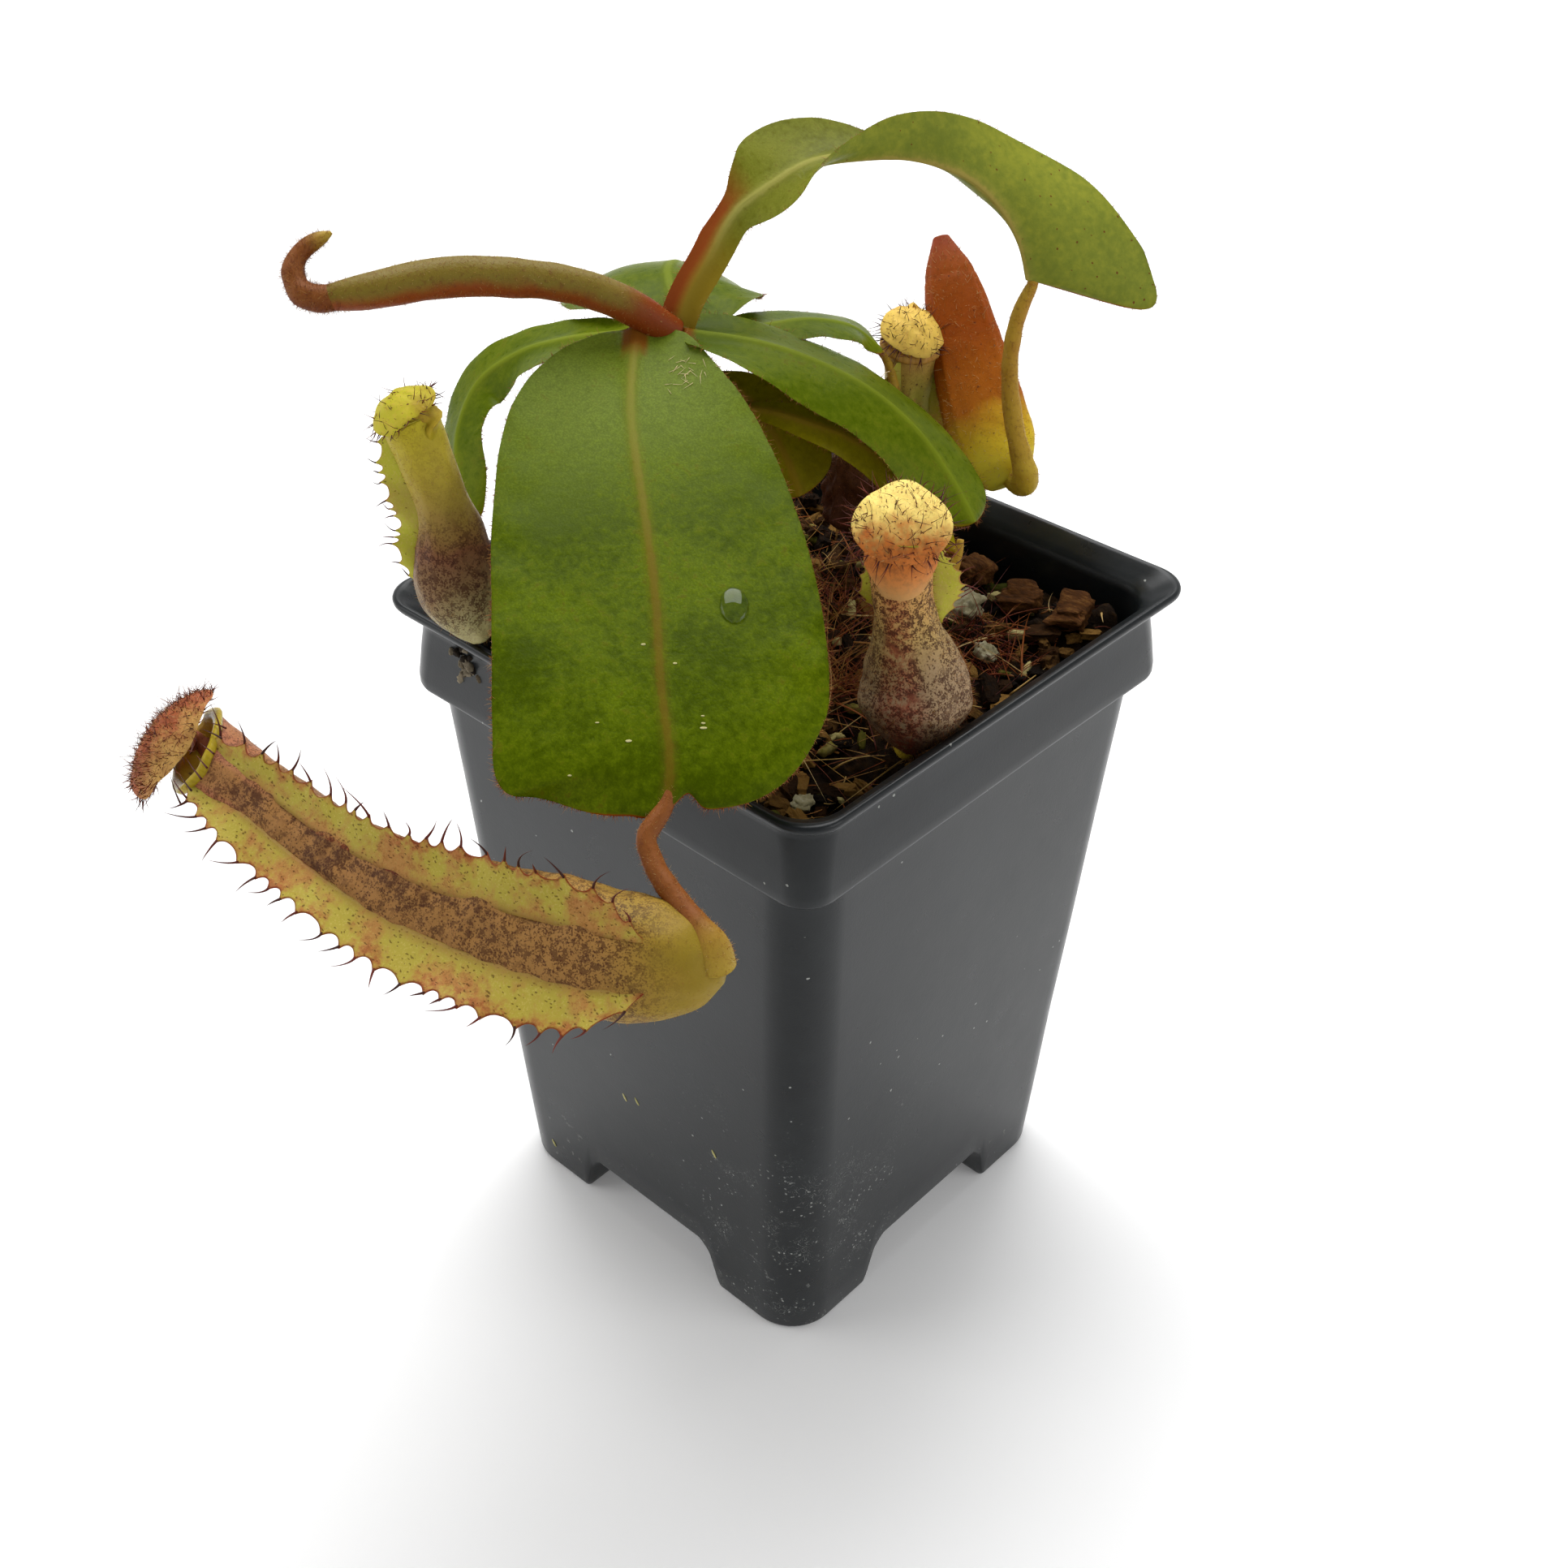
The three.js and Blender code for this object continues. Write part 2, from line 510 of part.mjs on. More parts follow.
const backPitcher = {
  axis: [
    [-7, 36.8, 117], [-7, 36.8, 120], [-7.2, 36.9, 127], [-7.4, 37.2, 136], [-7.6, 37.6, 144],
    [-7.9, 38, 151],
  ],
  front: [[0, [0.9, -0.5, 0]], [1, [0.9, -0.5, 0]]],
  radii: [
    [0, [1.2, 1.2]], [0.1, [4, 4]], [0.3, [5, 5]], [0.5, [4.6, 4.6]], [0.8, [4.1, 4.1]], [1, [4.6, 4.6]],
  ],
  slant: 1.2,
  hollowFrom: 0.2,
  wall: 0.6,
  wing: { from: 0.3, to: 0.95, thick: 0.9, height: [[0, 0.4], [0.5, 1.6], [0.8, 2], [1, 1]] },
};

// Pitchers that hold no open cup: one still shut and flattened, one old and collapsed.
const unopenedPitcher = {
  axis: [
    [14.6, 36.9, 134.6], [10.8, 38.2, 138], [3.4, 42, 145.9], [-3.6, 45.6, 154.1], [-9.1, 48.6, 160.7],
    [-12.8, 50.8, 164.8],
  ],
  front: [[0, [0.5, -0.6, 0.6]], [1, [0.5, -0.6, 0.6]]],
  radii: [
    [0, [2.6, 1.6]], [0.05, [4.8, 2.4]], [0.12, [6.4, 2.8]], [0.3, [7, 3]], [0.6, [5.8, 2.8]],
    [0.85, [4.2, 2.2]], [1, [1.4, 1.2]],
  ],
};
const witheredPitcher = {
  axis: [[-7, 26.6, 120], [-7.6, 26, 127.5], [-7.8, 25.4, 134], [-8, 24.8, 139]],
  front: [[0, [0.5, -0.6, 0.3]], [1, [0.5, -0.6, 0.3]]],
  radii: [[0, [2, 1.5]], [0.2, [5, 3]], [0.6, [5.5, 2.6]], [1, [3, 1.4]]],
};
const lids = {
  front_pitcher_lid: {
    centre: [-37, -89.6, 123.6], normal: [-0.88, -0.3, 0.36], length: [0.17, 0.77, 0.62],
    halfLength: 9, halfWidth: 6, dome: 1.6,
  },
  left_pitcher_lid: {
    centre: [-32, -46.4, 161.4], normal: [-0.2, -0.3, 0.9], length: [-0.9, -0.4, -0.2],
    halfLength: 5.2, halfWidth: 4.8, dome: 1.6,
  },
  right_pitcher_lid: {
    centre: [31.6, -12.2, 153.6], normal: [0.4, -0.45, 0.75], length: [-0.4, 0.45, 0.6],
    halfLength: 7, halfWidth: 7.6, dome: 1.8,
  },
  back_pitcher_lid: {
    centre: [-7.9, 38.3, 155.4], normal: [0.3, -0.2, 0.9], length: [0.9, -0.5, -0.1],
    halfLength: 5.4, halfWidth: 5.2, dome: 1.8,
  },
};

// Loose pieces on top of the bark mix.
const loosePieces = {
  bark_chip_1: { at: [22, 33, 117], size: [5, 3, 2.4], turn: [0.3, 0.2, 0.4], finish: barkBrown() },
  bark_chip_2: { at: [11, 35, 117], size: [4.4, 3, 2.4], turn: [0.5, -0.3, 1.2], finish: barkBrown() },
  bark_chip_3: { at: [3, 35, 116], size: [5, 2.4, 2], turn: [0.1, 0.4, 0.2], finish: barkBrown() },
  bark_chip_4: { at: [-26, 20, 113.5], size: [6, 3.6, 2.4], turn: [0.2, 0.1, 2], finish: barkBrown() },
  bark_chip_5: { at: [-28, -16, 113], size: [5, 4, 2.4], turn: [0.2, 0.3, 1], finish: barkBrown() },
  bark_chip_6: { at: [8, -30, 112.6], size: [5, 3.4, 2.2], turn: [0.3, 0.2, 0.2], finish: barkBrown() },
  wood_chip: { at: [32, 33, 119], size: [6.5, 2.4, 1.8], turn: [0.1, -0.1, 0.9], finish: barkBrown() },
  pale_stone_1: { at: [17, 24, 117], size: [3.8, 3.2, 3], turn: [0.3, 0.2, 0.4], finish: paleStone() },
  pale_stone_2: { at: [27, 17, 116], size: [2.4, 2, 1.8], turn: [0.2, 0.5, 0.3], finish: paleStone() },
  pale_stone_3: { at: [31, -31, 113], size: [2.2, 2.6, 2], turn: [0.4, 0.1, 0.8], finish: paleStone() },
  pale_stone_4: { at: [-8, -24, 113], size: [2.6, 2.2, 2], turn: [0.1, 0.2, 1.1], finish: paleStone() },
};

// ---------------------------------------------------------------- solids and how they keep clear
function toSolid(geometry) {
  const bare = new THREE.BufferGeometry();
  bare.setAttribute('position', geometry.getAttribute('position'));
  bare.setIndex(geometry.getIndex());
  const merged = mergeVertices(bare, 1e-4);
  return new wasm.Manifold(new wasm.Mesh({
    numProp: 3,
    vertProperties: new Float32Array(merged.getAttribute('position').array),
    triVerts: new Uint32Array(merged.getIndex().array),
  }));
}

function toGeometry(solid) {
  const { vertProperties, triVerts } = solid.getMesh();
  const geometry = new THREE.BufferGeometry();
  geometry.setAttribute('position', new THREE.Float32BufferAttribute(vertProperties, 3));
  geometry.setIndex(Array.from(triVerts));
  return geometry;
}

const largestPiece = (solid) => solid.decompose().sort((a, b) => b.volume() - a.volume())[0];

const boxesMeet = (a, b) => [0, 1, 2].every((k) => a.min[k] < b.max[k] && b.min[k] < a.max[k]);

const plant = new THREE.Group();
const laid = [];

// Adds a piece. `shape(swell)` gives its solid, or the solid grown by `swell` all round. Where it would
// touch a piece that is already there, it is cut back to leave the usual gap.
function lay(name, shape, material) {
  let solid = shape(0);
  for (const grown of laid) {
    if (!boxesMeet(solid.boundingBox(), grown.boundingBox())) continue;
    if (solid.intersect(grown).volume() > 0) solid = largestPiece(solid.subtract(grown));
  }
  laid.push(shape(GAP));
  const mesh = new THREE.Mesh(toGeometry(solid), material);
  mesh.name = name;
  plant.add(mesh);
}

function potSolid(swell) {
  let pot = toSolid(potShell(swell));
  const arch = toSolid(archChannel());
  pot = pot.subtract(arch).subtract(arch.rotate([0, 0, 90]));
  if (swell > 0) return pot;
  const hole = new THREE.CylinderGeometry(POT.drainRadius, POT.drainRadius, 2 * POT.archHeight, 16);
  const drain = toSolid(hole.rotateX(Math.PI / 2));
  for (const [x, y] of [[0, 0], [1, 0], [-1, 0], [0, 1], [0, -1]]) {
    pot = pot.subtract(drain.translate([x * POT.drainReach, y * POT.drainReach, POT.floorTop]));
  }
  return pot;
}

const cupWithWings = (pitcher) => (swell) => [-WING_TURN, WING_TURN].reduce(
  (body, turn) => body.add(toSolid(pitcherWing(pitcher, turn, swell))),
  toSolid(pitcherCup(pitcher, swell)),
);
const shutPitcher = ({ axis, front, radii }) => (swell) => {
  const frames = framesAlong({ points: axis, hints: front, steps: 10, swell });
  const radiusAt = track(radii);
  return toSolid(skin(frames.map((frame) => ovalRing(frame, ...radiusAt(frame.s), 12, swell))));
};
const leafSolid = (leaf) => (swell) => toSolid(leafBlade(leaf, swell));
const tubeSolid = (tube) => (swell) => toSolid(taperTube(tube, swell));

lay('pot', potSolid, potPlastic());
lay('growing_medium', (swell) => toSolid(soilBlock(swell)), soilBrown());
lay('stem', tubeSolid(STEM), finish(0x6a5a2a, 0.7));
lay('front_leaf', leafSolid(frontLeaf), leafGreen());
lay('arching_leaf', leafSolid(archingLeaf), leafGreen());
lay('rolled_leaf', tubeSolid(rolledLeaf), finish(0x7c5a2c, 0.55));
lay('rolled_leaf_tip', tubeSolid(rolledLeafTip), tendrilBrown());
lay('front_pitcher', cupWithWings(frontPitcher), pitcherGreen());
lay('left_pitcher', cupWithWings(leftPitcher), pitcherTan());
lay('right_pitcher', cupWithWings(rightPitcher), pitcherTan());
lay('back_pitcher', cupWithWings(backPitcher), pitcherGreen());
lay('unopened_pitcher', shutPitcher(unopenedPitcher), pitcherOrange());
lay('withered_pitcher', shutPitcher(witheredPitcher), driedLeaf());
lay('right_leaf', leafSolid(rightLeaf), leafGreen());
lay('left_leaf', leafSolid(leftLeaf), leafGreen());
lay('back_right_leaf', leafSolid(backRightLeaf), leafGreen());
lay('back_leaf', leafSolid(backLeaf), leafGreen());
lay('hanging_leaf', leafSolid(hangingLeaf), oldLeaf());
lay('lower_right_leaf', leafSolid(lowerRightLeaf), oldLeaf());
for (const [name, tube] of Object.entries(tendrils)) {
  lay(name, tubeSolid(tube), name === 'front_tendril' ? tendrilBrown() : tendrilOlive());
}
for (const [name, lid] of Object.entries(lids)) {
  const colour = name === 'front_pitcher_lid' ? lidPink() : lidYellow();
  lay(name, (swell) => toSolid(lidShield(lid, swell)), colour);
}
for (const [name, piece] of Object.entries(loosePieces)) {
  lay(name, (swell) => toSolid(lumpOf(piece, swell)), piece.finish);
}

// The footprint's middle becomes the origin.
const box = new THREE.Box3().setFromObject(plant);
plant.position.set(-(box.min.x + box.max.x) / 2, -(box.min.y + box.max.y) / 2, 0);

const pottedPitcherPlant = new THREE.Group();
pottedPitcherPlant.add(plant);
export default pottedPitcherPlant;
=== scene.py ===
"""A young pitcher plant in a tall square nursery pot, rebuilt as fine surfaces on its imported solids.

Every organ of the plant is a surface worked out from a curve, a few width and bend tracks, and a section
that is carried along the curve. Sizes are millimetres and places are measured from the pot's middle axis,
with Z up from the surface that the pot stands on; SITE turns both into metres in the frame.
"""

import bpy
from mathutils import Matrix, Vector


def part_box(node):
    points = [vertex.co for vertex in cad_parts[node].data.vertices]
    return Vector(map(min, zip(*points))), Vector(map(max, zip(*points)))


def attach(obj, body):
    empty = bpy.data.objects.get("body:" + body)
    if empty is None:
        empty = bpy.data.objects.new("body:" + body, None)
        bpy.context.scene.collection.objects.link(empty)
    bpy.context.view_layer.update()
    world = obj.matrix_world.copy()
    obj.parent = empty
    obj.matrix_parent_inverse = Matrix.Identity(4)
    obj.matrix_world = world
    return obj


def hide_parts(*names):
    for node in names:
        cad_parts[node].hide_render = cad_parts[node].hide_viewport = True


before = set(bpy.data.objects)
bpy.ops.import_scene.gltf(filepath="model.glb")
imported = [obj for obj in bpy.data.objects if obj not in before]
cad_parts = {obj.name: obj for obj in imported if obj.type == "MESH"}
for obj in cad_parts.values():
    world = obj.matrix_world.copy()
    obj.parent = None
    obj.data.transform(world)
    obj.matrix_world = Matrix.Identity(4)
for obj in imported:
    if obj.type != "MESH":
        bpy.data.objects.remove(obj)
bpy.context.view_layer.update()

import logging
from dataclasses import dataclass, field
from enum import Enum
from typing import Callable, ClassVar, Sequence

import bpy
import numpy as np
from mathutils import Matrix

LOG = logging.getLogger("pitcher_plant")
MM = 0.001
BODY = "root"
SEED = 20
FINE_STEPS = 800                  # steps that a rail's length is measured in
FINE_RINGS = 26                   # rows of a ball that is seen from near
SMALL_RINGS = 8                   # rows of a small bit's ball

Array = np.ndarray
Points = Sequence[Sequence[float]]
Keys = Sequence[tuple[float, float | Sequence[float]]]
Colour = tuple[float, float, float]
Socket = bpy.types.NodeSocket
Material = bpy.types.Material
EVEN: Colour = (1.0, 1.0, 1.0)    # a pattern that isn't stretched


# ------------------------------------------------------------------ where things are
class Site:
    """The pot's middle axis in the frame, which all places are measured from."""

    def __init__(self, node: str) -> None:
        """Finds the middle of a node's box.

        Args:
            node: The node whose box is centred on the axis.
        """
        low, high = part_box(node)
        self.axis = np.array([(low.x + high.x) / 2, (low.y + high.y) / 2, 0.0])

    def metres(self, places: Points) -> Array:
        """Turns rows of x, y, z in millimetres from the axis into metres in the frame."""
        return np.asarray(places, float) * MM + self.axis


SITE = Site("pot")


# ------------------------------------------------------------------ numbers and curves
def unit(vectors: Array) -> Array:
    """Scales each vector of an array to length one."""
    return vectors / np.maximum(np.linalg.norm(vectors, axis=-1, keepdims=True), 1e-12)


def ease(values: Array, low: float, high: float) -> Array:
    """Smooth step from 0 at low to 1 at high, with level ends: t squared times (3 - 2t)."""
    t = np.clip((values - low) / (high - low), 0.0, 1.0)
    return t * t * (3 - 2 * t)


def track(keys: Keys, s: Array) -> Array:
    """Reads a smooth track through keyed values.

    Between two keys runs a cubic whose slope at each of them weighs the value beyond it; at the ends of
    the track, where nothing is beyond, the neighbour's value is used the other way round.

    Args:
        keys: Pairs of a place along the track and a number or a list of numbers.
        s: Places to read.

    Returns:
        One row for each place, or one number where the values are single numbers.
    """
    places = np.array([place for place, _ in keys], float)
    values = np.array([np.atleast_1d(value) for _, value in keys], float)
    last = len(places) - 1
    k = np.clip(np.searchsorted(places, s, side="right"), 1, last)
    before, after = np.where(k > 1, k - 2, k), np.where(k < last, np.minimum(k + 1, last), k - 1)
    half = (places[k] - places[k - 1]) / 2
    p = np.clip((s - places[k - 1]) / (2 * half), 0.0, 1.0)[:, None]
    w0 = (half / (places[k - 1] - places[before]))[:, None]
    w1 = (half / (places[after] - places[k]))[:, None]
    read = (values[before] * w0 * (2 * p**2 - p**3 - p)
            + values[k - 1] * ((1 + w0) * p**3 - (1.5 + 2 * w0) * p**2 + (w0 - 0.5) * p + 1)
            + values[k] * ((1.5 + w1) * p**2 - (1 + w1) * p**3 + 0.5 * p)
            + values[after] * w1 * (p**3 - p**2))
    return read[:, 0] if read.shape[1] == 1 else read


def spline(knots: Array, t: Array) -> Array:
    """Centripetal Catmull-Rom curve through knots, read at t from 0 to 1.

    The tangent at a knot weighs the chords beside it by the square root of their lengths, and each end
    is carried on by one mirrored knot.

    Args:
        knots: Rows of x, y, z that the curve goes through.
        t: Places to read, spread evenly over the spans.

    Returns:
        One row for each place.
    """
    last = len(knots) - 1
    k = np.clip(np.floor(last * t).astype(int), 0, last - 1)
    w = (last * t - k)[:, None]
    ends = np.vstack([2 * knots[0] - knots[1], knots, 2 * knots[-1] - knots[-2]])
    p0, p1, p2, p3 = ends[k], ends[k + 1], ends[k + 2], ends[k + 3]

    def root(a: Array, b: Array) -> Array:
        """Square root of the distance between two rows of points."""
        return np.maximum(((a - b) ** 2).sum(1), 1e-18)[:, None] ** 0.25

    d0, d1, d2 = root(p0, p1), root(p1, p2), root(p2, p3)
    t1 = ((p1 - p0) / d0 - (p2 - p0) / (d0 + d1) + (p2 - p1) / d1) * d1
    t2 = ((p2 - p1) / d1 - (p3 - p1) / (d1 + d2) + (p3 - p2) / d2) * d1
    return (2 * p1 - 2 * p2 + t1 + t2) * w**3 + (3 * p2 - 3 * p1 - 2 * t1 - t2) * w**2 + t1 * w + p1


def ripple(places: Array, scale: float, seed: int) -> Array:
    """Smooth wandering value between about -1 and 1: seven sine waves in seeded directions.

    Args:
        places: Points, in metres, with x, y, z on the last axis.
        scale: Size of the features, in millimetres.
        seed: Picks the directions and phases.

    Returns:
        One value for each point.
    """
    rng = np.random.default_rng(seed)
    waves = unit(rng.normal(size=(7, 3))) * rng.uniform(0.6, 1.6, (7, 1)) * (2 * np.pi / (scale * MM))
    phase = rng.uniform(0, 2 * np.pi, 7)
    return np.sin(places @ waves.T + phase).sum(-1) / 3.2


@dataclass(frozen=True)
class Rail:
    """A smooth curve, its length in millimetres, and its travel, face and side directions at each step."""

    place: Array
    along: Array
    face: Array
    side: Array
    length: float

    @classmethod
    def lay(cls, points: Points, hints: Keys, s: Array) -> "Rail":
        """Lays a rail through points, with steps at shares s of its length.

        Args:
            points: Places that it goes through, in millimetres from the pot's axis.
            hints: Track of the direction that the face turns to, made square to the travel.
            s: Shares of the length, from 0 to 1.

        Returns:
            The rail, in metres.
        """
        knots = SITE.metres(points)
        fine = np.linspace(0, 1, FINE_STEPS)
        run = np.concatenate([[0], np.cumsum(np.linalg.norm(np.diff(spline(knots, fine), axis=0), axis=1))])
        t = np.interp(s * run[-1], run, fine)
        step = 1e-3
        along = unit(spline(knots, np.minimum(t + step, 1)) - spline(knots, np.maximum(t - step, 0)))
        hint = track(hints, s)
        face = unit(hint - along * (hint * along).sum(1, keepdims=True))
        return cls(spline(knots, t), along, face, np.cross(along, face), float(run[-1]) / MM)

    def at(self, side: Array, face: Array | float = 0.0, along: Array | float = 0.0) -> Array:
        """Places beside the rail: place + sideways * side + face * face + travel * along.

        Args:
            side: Offsets sideways in millimetres, one row for each step of the rail.
            face: Offsets in the direction of the face.
            along: Offsets in the direction of travel.

        Returns:
            The places, in metres.
        """
        pairs = ((self.side, side), (self.face, face), (self.along, along))
        pushes = (way[:, None] * (np.asarray(off) * MM)[..., None] for way, off in pairs)
        return self.place[:, None] + sum(pushes)


# ------------------------------------------------------------------ surfaces
@dataclass
class Skin:
    """A closed surface on a grid of rows and columns, with named values at its points.

    Seen along the way in which the rows follow each other, columns run clockwise, so faces point out. A fan
    of triangles round a hub closes the first row and the last. Values may be given for one row or column,
    and then hold for all of them.
    """

    rows: Array
    marks: dict[str, Array] = field(default_factory=dict)

    def faces(self) -> tuple[Array, Array]:
        """Lists the quads between rows and the triangles of the two fans, by point number."""
        here = np.arange(self.rows[..., 0].size).reshape(self.rows.shape[:2])
        nxt = np.roll(here, -1, axis=1)
        quads = np.stack([here[:-1], nxt[:-1], nxt[1:], here[1:]], axis=-1).reshape(-1, 4)
        hub = np.full(len(here[0]), here.size)
        fans = np.stack([hub, nxt[0], here[0]], 1), np.stack([hub + 1, here[-1], nxt[-1]], 1)
        return quads, np.vstack(fans)

    def listed(self, grid: Array) -> Array:
        """Lists what stands on the grid, row by row, and then the means of its first and last row."""
        grid = np.broadcast_to(grid, self.rows.shape[:2] + np.shape(grid)[2:])
        return np.concatenate([grid.reshape(-1, *grid.shape[2:]), grid[[0, -1]].mean(1)])

    def normals(self) -> Array:
        """Outward direction at each grid point: the cross product of its column and row steps."""
        round_ = np.roll(self.rows, -1, axis=1) - np.roll(self.rows, 1, axis=1)
        return unit(np.cross(round_, np.gradient(self.rows, axis=0)))

    def scatter(self, rng: np.random.Generator, count: int,
                keep: Callable[[Array], Array] | None = None) -> tuple[Array, Array]:
        """Picks places spread evenly by area over the surface.

        Args:
            rng: Source of the random places.
            count: How many places are drawn before any are dropped.
            keep: Takes the rows as shares from 0 to 1, and says which places stay.

        Returns:
            The places and the outward directions there.
        """
        count_r, count_c = self.rows.shape[:2]
        down = np.linalg.norm(np.gradient(self.rows, axis=0), axis=-1)
        across = np.linalg.norm(np.roll(self.rows, -1, axis=1) - self.rows, axis=-1)
        weight = (down * across)[:-1].reshape(-1)
        pick = rng.choice(len(weight), size=count, p=weight / weight.sum())
        r, c = pick // count_c, pick % count_c
        share_r = (r + rng.random(count)) / (count_r - 1)
        stay = np.ones(count, bool) if keep is None else keep(share_r)
        r, c, share_r = r[stay], c[stay], share_r[stay]
        t = (share_r * (count_r - 1) - r)[:, None]
        u = rng.random(len(r))[:, None]
        right = (c + 1) % count_c
        place = ((self.rows[r, c] * (1 - u) + self.rows[r, right] * u) * (1 - t)
                 + (self.rows[r + 1, c] * (1 - u) + self.rows[r + 1, right] * u) * t)
        return place, self.normals()[r, c]


@dataclass
class Tufts:
    """Many thin tapering hairs, with sizes in millimetres. Each runs from its root along its aim and bends
    away with the square of the way gone, and its thickness falls to a point."""

    roots: Array
    aims: Array
    bends: Array
    lengths: Array
    radius: float
    tones: Array
    steps: int = 3
    sides: int = 3

    def surface(self) -> tuple[Array, list[Array], dict[str, Array]]:
        """Works out all the hairs at once.

        Returns:
            Points, triangles by point number, and the values "tone" and "along" at the points.
        """
        count, k, m = len(self.roots), self.steps, self.sides
        t = np.arange(k) / k
        aim = unit(self.aims)
        spare = np.where(np.abs(aim[:, :1]) < 0.8, [[1.0, 0, 0]], [[0, 1.0, 0]])
        one = unit(np.cross(aim, spare))
        two = np.cross(aim, one)
        reach = self.lengths[:, None] * MM
        middle = (self.roots[:, None] + (aim * reach)[:, None] * t[:, None]
                  + (self.bends * reach)[:, None] * t[:, None] ** 2)
        angle = 2 * np.pi * np.arange(m)[:, None] / m
        ring = one[:, None] * np.cos(angle) + two[:, None] * np.sin(angle)
        body = middle[:, :, None] + ring[:, None] * (self.radius * MM * (1 - t) ** 0.8)[:, None, None]
        tips = self.roots + (aim + self.bends) * reach
        points = np.concatenate([body.reshape(count, -1, 3), tips[:, None]], axis=1)
        size = k * m + 1
        base = [(0, j + 1, j) for j in range(1, m - 1)]
        for row in range(0, k * m, m):
            for j in range(m):
                a, b = row + j, row + (j + 1) % m
                base += [(a, b, b + m), (a, b + m, a + m)] if row < size - 1 - m else [(a, b, size - 1)]
        faces = (np.array(base)[None] + size * np.arange(count)[:, None, None]).reshape(-1, 3)
        share = np.concatenate([np.repeat(t, m), [1.0]])
        marks = {"tone": np.repeat(self.tones, size), "along": np.tile(share, count)}
        return points.reshape(-1, 3), [faces], marks


class Clay:
    """Collects surfaces and hairs and makes them one mesh."""

    def __init__(self) -> None:
        """Starts empty."""
        self._points: list[Array] = []
        self._faces: list[Array] = []
        self._marks: list[dict[str, Array]] = []
        self._count = 0

    def add(self, points: Array, faces: Sequence[Array], marks: dict[str, Array] | None = None) -> "Clay":
        """Adds points and the faces between them.

        Args:
            points: Rows of x, y, z in metres.
            faces: Arrays of faces by point number, each with its own number of corners.
            marks: Named values at the points.

        Returns:
            This object, so that calls can follow each other.
        """
        self._points.append(points)
        self._faces += [part + self._count for part in faces if len(part)]
        self._marks.append({**(marks or {}), "": np.zeros(len(points))})
        self._count += len(points)
        return self

    def skin(self, *skins: Skin) -> "Clay":
        """Adds surfaces with their named values."""
        for skin in skins:
            marks = {name: skin.listed(grid) for name, grid in skin.marks.items()}
            self.add(skin.listed(skin.rows), skin.faces(), marks)
        return self

    def tufts(self, *sets: Tufts) -> "Clay":
        """Adds sets of hairs."""
        for tufts in sets:
            self.add(*tufts.surface())
        return self

    def mesh(self, name: str, smooth: bool) -> bpy.types.Mesh:
        """Makes the mesh, with each named value as an attribute on its points.

        Args:
            name: Name of the mesh.
            smooth: Whether the shading runs smoothly over the faces.

        Returns:
            The mesh.
        """
        mesh = bpy.data.meshes.new(name)
        points = np.vstack(self._points)
        corners = np.concatenate([part.reshape(-1) for part in self._faces])
        sizes = np.concatenate([np.full(len(part), part.shape[1]) for part in self._faces])
        mesh.vertices.add(len(points))
        mesh.vertices.foreach_set("co", points.reshape(-1).astype(np.float32))
        mesh.loops.add(len(corners))
        mesh.loops.foreach_set("vertex_index", corners.astype(np.int32))
        mesh.polygons.add(len(sizes))
        mesh.polygons.foreach_set("loop_start", (np.cumsum(sizes) - sizes).astype(np.int32))
        for key in sorted({key for marks in self._marks for key in marks} - {""}):
            value = np.concatenate([marks.get(key, np.zeros(len(marks[""]))) for marks in self._marks])
            mesh.attributes.new(key, "FLOAT", "POINT").data.foreach_set("value", value.astype(np.float32))
        mesh.update(calc_edges=True)
        mesh.validate()
        mesh.polygons.foreach_set("use_smooth", np.full(len(mesh.polygons), smooth))
        return mesh


def settle(name: str, clay: Clay, material: Material, slot: str, *nodes: str,
           smooth: bool = True) -> None:
    """Puts a piece into the scene, on the body, in the place of the nodes that it stands for.

    Args:
        name: The piece's name.
        clay: Its surfaces, already in place.
        material: Its finish.
        slot: Not used.
        nodes: The frame's nodes that it replaces.
        smooth: Whether the shading runs smoothly over its faces.
    """
    mesh = clay.mesh(name, smooth)
    mesh.materials.append(material)
    piece = bpy.data.objects.new(name, mesh)
    bpy.context.scene.collection.objects.link(piece)
    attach(piece, BODY)
    if nodes:
        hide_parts(*nodes)
    LOG.info("%s: %d faces", name, len(mesh.polygons))


# ------------------------------------------------------------------ shader maths
def seen(red: int, green: int, blue: int) -> Colour:
    """Turns a colour as a screen shows it, 0 to 255, into the shader's linear one."""
    return tuple(((c / 255 + 0.055) / 1.055) ** 2.4 if c > 10 else c / 255 / 12.92
                 for c in (red, green, blue))


